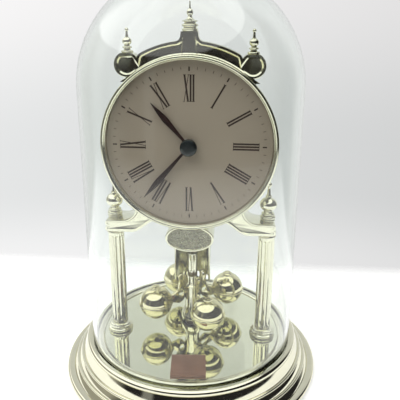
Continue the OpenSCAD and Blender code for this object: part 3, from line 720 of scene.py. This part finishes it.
class CLOCK_OT_finials(Maker, bpy.types.Operator):
    """Turn the finials on the columns, the ears and the arch"""

    bl_idname = "clock.finials"
    bl_label = "Finials"

    def execute(self, context):
        bulb = in_mm([(0, -0.6), (3.4, -0.6), (3.4, 0)] + arc(3.7, 0.6, 0.6, -90, 75, 6)
                     + [(3.45, 1.35)] + arc(3.35, 2.3, 1.0, -65, 75, 8) + [(2.9, 3.5)]
                     + arc(3.1, 4.2, 0.55, -75, 75, 6) + [(2.6, 5.0), (2.35, 5.4), (2.5, 5.8)]
                     + [(4.85 * math.cos(math.radians(a)), 9.6 + 4.1 * math.sin(math.radians(a)))
                        for a in range(-58, 73, 8)]
                     + [(1.25, 13.7), (1.2, 13.9), (1.75, 14.1), (1.9, 14.35), (1.75, 14.6), (1.3, 14.75),
                        (1.15, 15.2), (0.95, 16.8), (0.8, 18.6), (0.72, 19.5)]
                     + arc(0, 21, 1.5, -60, 90, 10))
        right = turned("bulb_finial_right", bulb, (COLUMN_X, COLUMN_Y, ARM_TOP))
        fitted_pair(right, COLUMN_X, "column_finial")
        ear = middle("ear_finial_right")
        small = in_mm([(0, -0.5), (2.2, -0.5), (2.2, 0)] + arc(2.6, 0.6, 0.6, -90, 80, 6) + [(2.3, 1.3), (1.7, 1.6),
                      (1.55, 2.1)] + arc(1.95, 2.7, 0.5, -75, 75, 5) + [(1.5, 3.4), (1.45, 3.7)]
                      + [(0.4 + 2 * math.cos(math.radians(a)), 5.6 + 2 * math.sin(math.radians(a)))
                         for a in range(-58, 70, 12)]
                      + [(0.85, 7.7), (0.72, 8.4), (0.62, 9.4), (0.55, 10.3)] + arc(0, 11.3, 0.95, -55, 90, 8))
        right = turned("spire_finial_right", small, (ear.x, ear.y, lowest("ear_finial_right").z))
        fitted_pair(right, ear.x, "ear_finial")
        crown = in_mm([(0, -0.4), (3.4, -0.4), (3.4, 0)] + arc(3.4, 0.75, 0.75, -90, 80, 6)
                      + [(3.35, 1.65), (3.3, 2.0)] + arc(3.5, 2.8, 0.65, -70, 70, 6)
                      + [(3.2, 3.6), (2.95, 3.9), (2.9, 4.2), (3.5, 4.45), (4.0, 4.7), (4.05, 4.95), (3.6, 5.15),
                         (2.4, 5.5), (1.6, 6.0), (1.25, 6.5), (1.15, 6.95)]
                      + [(1.65 * math.cos(math.radians(a)), 8.8 + 1.9 * math.sin(math.radians(a)))
                         for a in range(-52, 72, 12)]
                      + [(0.45, 11.0), (0.36, 12.4), (0.32, 13.5)] + arc(0, 13.8, 0.34, -20, 90, 5))
        top = turned("crown_finial", crown, (0, middle("top_finial").y, lowest("top_finial").z))
        fitted(top, "gilt", "stand", "top_finial")
        return {"FINISHED"}


class CLOCK_OT_frame(Maker, bpy.types.Operator):
    """Model the cast frame: ring, arms, arch with ears, and the boss with its plaque"""

    bl_idname = "clock.frame"
    bl_label = "Cast frame"

    def execute(self, context):
        s = sizes()
        ring_r, drum_r = BEZEL_R - 0.6 * MM, across("movement_drum")
        ring = turned("frame_ring", [
            (drum_r, 0), (ring_r, 0), (ring_r, 15.1 * MM), (ring_r - 0.4 * MM, 15.5 * MM), (drum_r, 15.5 * MM),
            (drum_r, 0)], (DIAL.x, FRAME_Y, DIAL.z), -FRONT, s.spin_steps)
        arch = sawn("frame_arch", self.arch_outline(), FRAME_Y, FRAME_Y + 8 * MM)
        arch = soften(rimmed(arch, FRAME_Y, s.rim, 0.8 * MM, s.rim_drop), 0.15 * MM)
        right = sawn("frame_arm_right", self.arm_outline(), FRAME_Y, FRAME_BACK)
        right = soften(rimmed(right, FRAME_Y, 0.9 * MM, 0.4 * MM, 0.5 * MM), 0.2 * MM)
        left = flipped(right, "frame_arm_left")
        for piece in (ring, arch, right, left):
            fitted(piece, "gilt", "stand", "frame_casting")
        self.boss()
        return {"FINISHED"}

    @staticmethod
    def arch_outline():
        """Right half from the pedestal over the arch and round the ear, then the left half."""
        dial = (DIAL.x, DIAL.z)
        arch_r = 53 * MM
        end_r, ear_r = 3.4 * MM, 6.4 * MM
        half = 90 - 28
        end = polar(*dial, arch_r - end_r, half)
        ear = (middle("ear_finial_right").x, lowest("ear_finial_right").z + 0.8 * MM - ear_r)
        meet = crossing(end, end_r, ear, ear_r, 1)
        low = crossing(dial, BEZEL_R - 1.5 * MM, ear, ear_r, -1)
        flat = math.degrees(math.asin((ear_r - 0.8 * MM) / ear_r))
        pedestal, top_half, foot_half = lowest("top_finial").z, 4.3 * MM, 6.6 * MM
        first = math.degrees(math.acos(foot_half / arch_r))
        root = polar(*dial, arch_r, first)
        points = bezier((top_half, pedestal), (top_half, pedestal - 2.6 * MM), (4.9 * MM, root[1] + 0.6 * MM), root, 8)
        points += arc(*dial, arch_r, first, half, 20)[1:]
        points += arc(*end, end_r, half, angle_of(meet, end), 8)[1:]
        points += arc(*ear, ear_r, angle_of(meet, ear), 180 - flat, 5)[1:]
        points += arc(*ear, ear_r, flat, angle_of(low, ear), 24)
        half_outline = points + [tuple(low)]
        back = arc(*dial, BEZEL_R - 1.6 * MM, angle_of(low, dial) + 1, 90, 12)[:-1]
        right = half_outline + back
        return list(reversed(mirrored(right))) + right

    @staticmethod
    def arm_outline():
        """The right arm, from its lower lobe round the sweep to the ring and back."""
        lobe, end = 1.7 * MM, COLUMN_X + 2.5 * MM
        sweep = 9 * MM
        points = arc(end, ARM_LOW + lobe, lobe, -90, 72, 10)
        points += arc(end, ARM_TOP - lobe, lobe, -72, 90, 10)
        points += arc(COLUMN_X - 5 * MM, ARM_TOP + sweep, sweep, -90, -172, 14)
        points += [(23 * MM, DIAL.z - BEZEL_R + 12.6 * MM), (15.5 * MM, DIAL.z - BEZEL_R + 6 * MM)]
        start, finish = (17.0 * MM, DIAL.z - BEZEL_R + 3.6 * MM), (33.5 * MM, ARM_LOW)
        points += bezier(start, (24.5 * MM, start[1] - 0.8 * MM), (26.5 * MM, ARM_LOW), finish, 16)
        return points

    @staticmethod
    def boss():
        low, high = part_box("plaque_insert")
        border = 1.6 * MM
        half_w, half_h = (high.x - low.x) / 2 + border, (high.z - low.z) / 2 + border
        centre = middle("plaque_insert").z
        front = lowest("frame_casting").y
        outline = shifted(oval(half_w, half_h), 0, centre)
        boss = sawn("plaque_boss", outline, front, FRAME_BACK)
        soften(stepped(boss, faces_front, (1.25 * MM, 0), (0.25 * MM, -0.8 * MM)), 0.5 * MM, 4)
        web_w, web_top = 6.8 * MM, DIAL.z - BEZEL_R + 4 * MM
        web = sawn("boss_web", [(-web_w, centre), (web_w, centre), (web_w, web_top), (-web_w, web_top)],
                   FRAME_Y + 1 * MM, FRAME_BACK)
        for piece in (boss, web):
            fitted(piece, "gilt", "stand", "frame_casting")
        plaque = sawn("oval_plaque", shifted(oval(half_w - border, half_h - border), 0, centre), low.y, high.y)
        steps = [(1.0, 0), (0.12, -0.12), (0.12, 0.12), (1.2, 0.1), (1.6, 0.08)]
        smooth(stepped(plaque, faces_front, *in_mm(steps)), 30)
        fitted(plaque, "engraved", "stand", "plaque_insert")


class CLOCK_OT_dial(Maker, bpy.types.Operator):
    """Turn the bezel and dial, and print the numerals and the minute track"""

    bl_idname = "clock.dial"
    bl_label = "Bezel and dial"

    def execute(self, context):
        s = sizes()
        centre = (DIAL.x, FRAME_Y, DIAL.z)
        bore, height = BEZEL_R - 2.5 * MM, FRAME_Y - BEZEL_Y
        bead = 0.95 * MM
        outline = [(bore, 0), (BEZEL_R - 0.3 * MM, 0), (BEZEL_R, 0.3 * MM)]
        outline += arc(BEZEL_R - bead, height - bead, bead, 0, 150, 14)
        outline += [(BEZEL_R - 1.75 * MM, height - 0.85 * MM)]
        outline += arc(bore + 0.42 * MM, height - 1.25 * MM, 0.4 * MM, 50, 180, 7)
        outline += [(bore, height - 2.0 * MM), (bore, 0)]
        bezel = turned("polished_bezel", outline, centre, FRONT, s.spin_steps)
        fitted(bezel, "gilt", "stand", "bezel")
        thick = FRAME_Y - DIAL_Y
        dial_r, hole = across("dial"), 3.1 * MM
        dial = turned("painted_dial", [(hole, 0), (dial_r, 0), (dial_r, thick - 0.1 * MM),
                      (dial_r - 0.1 * MM, thick), (hole, thick), (hole, 0)], centre, FRONT, s.spin_steps)
        fitted(dial, "cream", "stand", "dial")
        self.numerals()
        self.track()
        return {"FINISHED"}

    @staticmethod
    def track():
        """Sixty marks, the hour ones longer and bolder."""
        s = sizes()
        bold, fine = [], []
        for minute in range(60):
            hour = minute % 5 == 0
            width = (0.72 if hour else 0.3) * MM
            inner = s.track_inner if hour else s.track_inner + 0.75 * MM
            mark = stroke(f"mark_{minute:02d}", width, inner, s.track_outer)
            (bold if hour else fine).append(turn(mark, 6 * minute, "Y", DIAL))
        fitted(joined("hour_marks", *bold), "ink", "stand")
        fitted(joined("minute_marks", *fine), "fine_ink", "stand")

    @staticmethod
    def numerals():
        for hour, text in enumerate(("I", "II", "III", "IIII", "V", "VI", "VII", "VIII", "IX", "X", "XI", "XII"), 1):
            numeral = roman(f"numeral_{hour:02d}", text)
            turn(numeral, 30 * hour, "Y", DIAL)
            fitted(numeral, "ink", "stand")


LETTER_WIDTH = {"I": 1.46, "V": 3.0, "X": 3.0}
THICK, THIN, SERIF = 0.92, 0.34, 0.26


def stroke(name, width, low, high, x=0.0, lean=0.0):
    """An upright printed bar over the dial centre; lean moves its head sideways, and both ends stay level."""
    ink_h = sizes().ink
    z0, z1 = DIAL.z + low, DIAL.z + high
    half = width / 2 * math.hypot(1, lean / (high - low))
    outline = [(x - half, z0), (x + half, z0), (x + lean + half, z1), (x + lean - half, z1)]
    return sawn(name, shifted(outline, DIAL.x, 0), DIAL_Y - ink_h, DIAL_Y)


def roman(name, text):
    """A numeral that stands above the dial centre, feet towards the centre."""
    low, high = sizes().numeral_inner, sizes().numeral_outer
    total = sum(LETTER_WIDTH[c] for c in text)
    x = -total / 2
    bars = []
    serifs = set()

    def bar(width, foot, head):
        bars.append(stroke(name, width * MM, low, high, foot * MM, (head - foot) * MM))

    for letter in text:
        wide = LETTER_WIDTH[letter]
        mid = x + wide / 2
        if letter == "I":
            bar(THICK, mid, mid)
            serifs |= {(mid, 0, wide + 0.12), (mid, 1, wide + 0.12)}
        if letter == "V":
            bar(THICK, mid, x + THICK / 2 + 0.12)
            bar(THIN, mid, x + wide - 0.3)
            serifs |= {(x + THICK / 2 + 0.12, 1, 1.5), (x + wide - 0.35, 1, 0.9)}
        if letter == "X":
            bar(THICK, x + wide - THICK / 2 - 0.12, x + THICK / 2 + 0.12)
            bar(THIN, x + 0.35, x + wide - 0.35)
            serifs |= {(x + THICK / 2 + 0.12, 1, 1.5), (x + wide - 0.35, 1, 0.9)}
            serifs |= {(x + wide - THICK / 2 - 0.12, 0, 1.5), (x + 0.35, 0, 0.9)}
        x += wide
    for mid, at_head, wide in sorted(serifs):
        edge = high - SERIF * MM if at_head else low
        bars.append(stroke(name, wide * MM, edge, edge + SERIF * MM, mid * MM))
    return joined(name, *bars)


class CLOCK_OT_hands(Maker, bpy.types.Operator):
    """Saw out the lance hands and turn the cap"""

    bl_idname = "clock.hands"
    bl_label = "Hands"

    def execute(self, context):
        self.lance("minute_lance", "minute_hand", "minute_shaft", 37.6, 220.5, 0.66, 1.62, 0.62)
        self.lance("hour_lance", "hour_hand", "hour_pipe", 29.8, 318.6, 0.6, 1.62, 0.72)
        low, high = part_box("hand_cap")
        r, h = (high.x - low.x) / 2, high.y - low.y
        outline = [(0, 0), (r - 0.3 * MM, 0)] + arc(r - 0.3 * MM, 0.3 * MM, 0.3 * MM, -90, 0, 4)
        outline += arc(r - 1.0 * MM, h - 1.0 * MM, 1.0 * MM, 0, 80, 8)
        outline += [(r * 0.5, h - 0.02 * MM), (0, h)]
        cap = turned("round_cap", outline, (DIAL.x, high.y, DIAL.z), FRONT)
        fitted(cap, "gloss", "minute_shaft", "hand_cap")
        return {"FINISHED"}

    @staticmethod
    def lance(name, node, body, reach, degrees, belly, wide, root):
        low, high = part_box(node)
        reach, wide, root = reach * MM, wide * MM, root * MM
        hub = (3.0 if node == "minute_hand" else 3.6) * MM
        side = bezier((root, hub * 0.9), (root * 1.05, reach * 0.3), (wide * 0.8, reach * 0.45),
                      (wide, reach * belly), 8)
        side += bezier((wide, reach * belly), (wide * 1.02, reach * (belly + 0.1)), (wide * 0.35, reach * 0.9),
                       (0.08 * MM, reach), 8)[1:]
        arc_start = angle_of(side[0], (0, 0))
        ring = arc(0, 0, hub, 180 - arc_start, 360 + arc_start, 28)
        outline = side + list(reversed(mirrored(side))) + ring[1:-1]
        hand = sawn(name, shifted(outline, DIAL.x, DIAL.z), low.y, high.y)
        soften(hand, 0.12 * MM, 2)
        turn(hand, degrees, "Y", DIAL)
        fitted(hand, "hand", body, node)


class CLOCK_OT_drum(Maker, bpy.types.Operator):
    """Turn the drum behind the dial, its back cover with the battery window, and the setting knob"""

    bl_idname = "clock.drum"
    bl_label = "Movement drum"

    def execute(self, context):
        s = sizes()
        low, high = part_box("movement_drum")
        r, depth = (high.x - low.x) / 2, high.y - low.y
        wall, bead = 1.2 * MM, 0.5 * MM
        outline = [(r - wall, 0), (r, 0), (r, depth - 2 * bead)]
        outline += [(r - 0.15 * MM, depth - 1.6 * bead), (r - 0.15 * MM, depth), (r - wall, depth), (r - wall, 0)]
        drum = turned("dial_drum", outline, (DIAL.x, low.y, DIAL.z), -FRONT, s.spin_steps)
        fitted(drum, "gilt", "stand", "movement_drum")
        for name, node, width, finish, body in (
                ("moulded_back", "back_cover", 0.3, "black", "stand"),
                ("cover_screws", "back_cover_screws", 0.12, "steel", "stand"),
                ("setting_knob_grip", "setting_knob", 0.2, "black", "time_setting"),
                ("case_body", "movement_case", 0.3, "black", "stand"),
                ("case_lid", "movement_lid", 0.2, "black", "stand"),
                ("spare_cell", "battery", 0.3, "jacket", "cell"),
                ("hanger_block", "hanger_housing", 0.3, "black", "stand"),
                ("foot_cup", "guide_cup", 0.15, "old_brass", "stand"),
                ("engraving_plate", "presentation_plate", 0.12, "copper", "stand")):
            fitted(dressed(name, node, width * MM), finish, body, node)
        return {"FINISHED"}


class CLOCK_OT_trough(Maker, bpy.types.Operator):
    """Roll the half-round bright trough behind the suspension"""

    bl_idname = "clock.trough"
    bl_label = "Suspension trough"

    def execute(self, context):
        low = lowest("suspension_trough").z
        top = DIAL.z - across("movement_drum") + 2.2 * MM
        r, wall, half = 11 * MM, 0.9 * MM, 105
        outline = arc(0, PEND_Y, r, 90 - half, 90 + half, 72) + arc(0, PEND_Y, r - wall, 90 + half, 90 - half, 72)
        piece = extruded("bright_trough", [(x, y, low) for x, y in outline], (0, 0, top - low))
        soften(piece, 0.2 * MM, 2)
        fitted(piece, "satin", "stand", "suspension_trough")
        return {"FINISHED"}


class CLOCK_OT_pendulum(Maker, bpy.types.Operator):
    """Model the pendulum: fluted tube, collar, bell, leaf scrolls and four banded balls"""

    bl_idname = "clock.pendulum"
    bl_label = "Pendulum"

    def execute(self, context):
        low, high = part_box("pendulum_tube")
        tube = fluted("fluted_tube", (0, PEND_Y), across("pendulum_tube"), low.z, high.z,
                      low.z + 0.5 * MM, high.z - 0.5 * MM, 8, 0.5 * MM, 0.6 * MM)
        fitted(tube, "gilt", "pendulum", "pendulum_tube")
        for name, node, width, finish in (
                ("turned_bell", "pendulum_bell", 0.12, "gilt"),
                ("dark_collar", "pendulum_collar", 0.15, "old_brass"),
                # The scrolls take the darker ball plating, as painted shade for the shadowed middle of the pendulum.
                ("leaf_scrolls", "pendulum_scrolls", 0.3, "ball"),
                ("hook_hanger", "pendulum_hanger", 0.12, "old_brass")):
            fitted(dressed(name, node, width * MM), finish, "pendulum", node)
        self.balls()
        return {"FINISHED"}

    @staticmethod
    def balls():
        """One banded ball, turned on its own axis, and three copies of it round the pendulum's axis."""
        nodes = ["ball_front_left", "ball_front_right", "ball_back_right", "ball_back_left"]
        band, button = 0.45 * MM, 3.0 * MM
        r = across(nodes[0]) - band
        place = middle(nodes[0])
        low, high = lowest(nodes[0]).z, highest(nodes[0]).z
        centre_z = low + r + 1.0 * MM
        bottom, top = centre_z - low, high - centre_z
        outline = [(0, -bottom), (1.3 * MM, -bottom), (1.9 * MM, -bottom + 0.25 * MM),
                   (2.3 * MM, -r - 0.2 * MM), (2.5 * MM, -r + 0.3 * MM)]
        outline += arc(0, 0, r, -74, -5.5, 24)
        outline += arc(r - 0.55 * MM, 0, 0.55 * MM + band, -60, 60, 10)
        outline += arc(0, 0, r, 5.5, 72, 24)
        outline += [(button, r - 0.3 * MM), (button + 0.05 * MM, r + 0.1 * MM), (button - 0.15 * MM, r + 0.5 * MM),
                    (2.2 * MM, r + 0.75 * MM), (1.95 * MM, r + 0.85 * MM), (1.8 * MM, top - 0.35 * MM),
                    (1.3 * MM, top - 0.05 * MM), (0, top)]
        ball = turned("banded_ball_front_left", outline, (place.x, place.y, centre_z), UP, 96)
        pieces = [ball]
        for node in nodes[1:]:
            twin = copy_of(ball, node.replace("ball", "banded_ball"))
            pieces.append(shift(twin, (middle(node).x - place.x, middle(node).y - place.y, 0)))
        # The balls take the darker ball plating, partly painted shade of the pendulum's shadowed middle.
        for piece, node in zip(pieces, nodes):
            fitted(piece, "ball", "pendulum", node)


class CLOCK_OT_dome(Maker, bpy.types.Operator):
    """Blow the glass dome"""

    bl_idname = "clock.dome"
    bl_label = "Glass dome"

    def execute(self, context):
        wall = 2 * MM
        spring = DOME_TOP - DOME_R
        outline = arc(DOME_R - wall / 2, DOME_LOW + wall / 2, wall / 2, -180, 0, 8)
        outline += [(DOME_R, DOME_LOW + wall)] + arc(0, spring, DOME_R, 0, 90, 40)
        outline += arc(0, spring, DOME_R - wall, 90, 0, 40) + [(DOME_R - wall, DOME_LOW + wall), outline[0]]
        dome = turned("clear_dome", outline, (0, 0, 0), UP, sizes().spin_steps)
        dome.visible_shadow = False
        fitted(dome, "glass", "dome", "glass_dome")
        return {"FINISHED"}


NODE_FINISH = {
    "old_brass": ["guide_cup", "pendulum_collar", "pendulum_hanger", "minute_arbor"],
    "gilt": ["pendulum_bell", "pendulum_scrolls"],
    "copper": ["presentation_plate"],
    "felt": ["felt_pad"],
    "steel": ["bottom_plate", "column_rod_left", "column_rod_right", "rod_washers", "rod_nuts",
              "back_cover_screws", "dial_nut", "stator", "contact_positive", "contact_negative", "stepping_rotor"],
    "iron": ["ballast_disc"],
    "black": ["back_cover", "movement_case", "movement_lid", "hanger_housing", "setting_knob"],
    "white": ["hour_wheel", "minute_wheel"],
    "board": ["circuit_board"],
    "wire": ["drive_coil", "pendulum_coil"],
    "jacket": ["battery"],
    "glass": ["glass_dome"],
    "hand": ["minute_hand", "hour_hand", "hand_cap"],
    "cream": ["dial"],
    "satin": ["suspension_trough", "plaque_insert"],
    "mirror": ["mirror_plate"],
}


class CLOCK_OT_inner_parts(Maker, bpy.types.Operator):
    """Give each part of the frame its finish"""

    bl_idname = "clock.inner_parts"
    bl_label = "Parts of the frame"

    def execute(self, context):
        make_materials()
        finishes = {node: key for key, nodes in NODE_FINISH.items() for node in nodes}
        for name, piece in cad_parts.items():
            piece.data.materials.clear()
            piece.data.materials.append(MATERIALS[finishes.get(name, "gilt")])
        return {"FINISHED"}


class CLOCK_OT_stage(Maker, bpy.types.Operator):
    """Lay a pale floor and set soft studio light and the camera"""

    bl_idname = "clock.stage"
    bl_label = "Stage"

    def execute(self, context):
        self.floor()
        self.surroundings(context.scene)
        self.lights()
        self.camera(context.scene)
        return {"FINISHED"}

    @staticmethod
    def floor():
        deselect()
        bpy.ops.mesh.primitive_circle_add(vertices=96, radius=0.62, fill_type="NGON", location=(0, 0, 0))
        floor = bpy.context.object
        floor.name = "floor"
        finish = Finish("pale_floor").set(roughness=0.8)
        finish.tint(finish.noise(6, 2), colours().floor, 0.012)
        finish.set(emission_color=(1, 1, 1), emission_strength=0.3)
        across_floor = finish.add("SeparateXYZ", {"Vector": finish.place}).outputs["Y"]
        reach = finish.add("VectorMath", {0: finish.place}, operation="LENGTH").outputs["Value"]
        rim, back = finish.spread(reach, 1.0, 0.0, 0.40, 0.60), finish.spread(across_floor, 1.0, 0.0, 0.108, 0.135)
        finish.set(alpha=finish.maths("MULTIPLY", rim, back))
        floor.data.materials.append(finish.material)

    @staticmethod
    def surroundings(scene):
        """What the plating mirrors is a pale room, dark low down in front and at the right, with bright light
        above; what shows past the clock and through its dome is a plain backdrop."""
        scene.view_settings.view_transform = "Standard"
        world = bpy.data.worlds.new("pale_room")
        scene.world = world
        world.use_nodes = True
        tree = Tree(world.node_tree)
        maths = tree.maths

        def edge(value, start, end):
            """From 0 to 1 between two angles in degrees."""
            return tree.spread(value, 0.0, 1.0, math.radians(start), math.radians(end), "SMOOTHSTEP")

        def mix(share, first, second):
            """A blend of two colours; the sockets for colours are the seventh and eighth."""
            return tree.add("Mix", {0: share, 6: first, 7: second}, data_type="RGBA").outputs[2]

        place = tree.add("TexCoord", {}).outputs["Generated"]
        parts = tree.add("SeparateXYZ", {"Vector": place}).outputs
        side = maths("ARCTAN2", parts["X"], maths("MULTIPLY", parts["Y"], -1.0))
        height = maths("ARCSINE", parts["Z"])
        aside = maths("ABSOLUTE", side)

        behind = edge(aside, 112, 140)
        dark = maths("MULTIPLY", edge(side, -78, -56), edge(side, 134, 122))
        stripe = maths("MULTIPLY", edge(side, -43, -39), edge(side, -29, -33))
        walls = mix(dark, (0.40, 0.39, 0.34), (0.022, 0.021, 0.022))
        walls = mix(maths("MULTIPLY", stripe, 0.3), walls, (0.8, 0.8, 0.78))
        walls = mix(behind, walls, (0.80, 0.81, 0.80))
        room = mix(behind, walls, mix(edge(height, 25, 50), walls, (0.56, 0.57, 0.56)))
        slanted = maths("SUBTRACT", height, maths("MULTIPLY", side, 0.136))
        lit = maths("MULTIPLY", edge(slanted, 36.5, 38.5), edge(aside, 140, 125))
        room = mix(maths("MAXIMUM", lit, edge(height, 54, 60)), room, (1.5, 1.5, 1.47))

        backdrop = mix(edge(height, -26, -18), (0.86, 0.86, 0.86), (0.73, 0.74, 0.74))
        backdrop = mix(edge(height, -14, 2), backdrop, (0.88, 0.87, 0.87))
        shade = tree.spread(parts["X"], 1.07, 0.88, -0.40, 0.28)
        backdrop = tree.add("VectorMath", {0: backdrop, "Scale": shade}, operation="SCALE").outputs["Vector"]

        rays = tree.add("LightPath", {}).outputs
        bounces = maths("ADD", rays["Glossy Depth"], rays["Diffuse Depth"])
        straight = maths("MULTIPLY", rays["Is Transmission Ray"], maths("LESS_THAN", bounces, 0.5))
        plain = maths("MAXIMUM", rays["Is Camera Ray"], straight)
        mirrored_room = tree.nodes["Background"]
        tree.feed(mirrored_room.inputs["Color"], room)
        seen = tree.add("Background", {"Color": backdrop})
        either = tree.add("MixShader", {0: plain, 1: mirrored_room.outputs[0], 2: seen.outputs[0]})
        tree.feed(tree.nodes["World Output"].inputs["Surface"], either.outputs[0])

    @staticmethod
    def lights():
        deselect()
        bpy.ops.object.light_add(type="AREA", location=(-0.5, -0.7, 1.5))
        fill = bpy.context.object
        fill.name = "soft_fill"
        fill.data.shape = "DISK"
        fill.data.size = 1.2
        fill.data.energy = 5
        fill.visible_glossy = False
        fill.visible_transmission = False
        fill.rotation_euler = (Vector((0, 0, 0.1)) - fill.location).to_track_quat("-Z", "Y").to_euler()

    @staticmethod
    def camera(scene):
        deselect()
        yaw, pitch, roll = -0.070, 0.349, 0.006
        ahead = Vector((math.sin(yaw) * math.cos(pitch), math.cos(yaw) * math.cos(pitch), -math.sin(pitch)))
        bpy.ops.object.camera_add(location=(25.57 * MM, -293.72 * MM, 211.67 * MM))
        camera = bpy.context.object
        camera.name = "camera"
        right = Vector((math.cos(yaw), -math.sin(yaw), 0))
        up = right.cross(ahead)
        tilted = right * math.cos(roll) + up * math.sin(roll)
        upright = up * math.cos(roll) - right * math.sin(roll)
        camera.rotation_euler = Matrix((tilted, upright, -ahead)).transposed().to_euler()
        camera.data.sensor_width = 36
        camera.data.lens = 49.46
        camera.data.clip_start, camera.data.clip_end = 0.01, 50
        scene.camera = camera


class VIEW3D_PT_clock(bpy.types.Panel):
    """Lists the clock's sizes, colours and building steps"""

    bl_label = "Anniversary Clock"
    bl_idname = "VIEW3D_PT_clock"
    bl_space_type = "VIEW_3D"
    bl_region_type = "UI"
    bl_category = "Clock"

    def draw(self, context):
        layout = self.layout
        for group in (context.scene.clock_sizes, context.scene.clock_colours):
            box = layout.box()
            for name in group.__annotations__:
                box.prop(group, name)
        for step in STEPS:
            layout.operator(step.bl_idname)


STEPS = [CLOCK_OT_inner_parts, CLOCK_OT_base, CLOCK_OT_columns, CLOCK_OT_finials, CLOCK_OT_frame, CLOCK_OT_dial,
         CLOCK_OT_hands, CLOCK_OT_drum, CLOCK_OT_trough, CLOCK_OT_pendulum, CLOCK_OT_dome, CLOCK_OT_stage]
CLASSES = [ClockSizes, ClockColours, *STEPS, VIEW3D_PT_clock]


def register():
    for cls in CLASSES:
        bpy.utils.register_class(cls)
    bpy.types.Scene.clock_sizes = bpy.props.PointerProperty(type=ClockSizes)
    bpy.types.Scene.clock_colours = bpy.props.PointerProperty(type=ClockColours)


def unregister():
    del bpy.types.Scene.clock_sizes
    del bpy.types.Scene.clock_colours
    for cls in reversed(CLASSES):
        bpy.utils.unregister_class(cls)


def main():
    register()
    for step in STEPS:
        group, name = step.bl_idname.split(".")
        getattr(getattr(bpy.ops, group), name)()


if __name__ == "__main__":
    main()
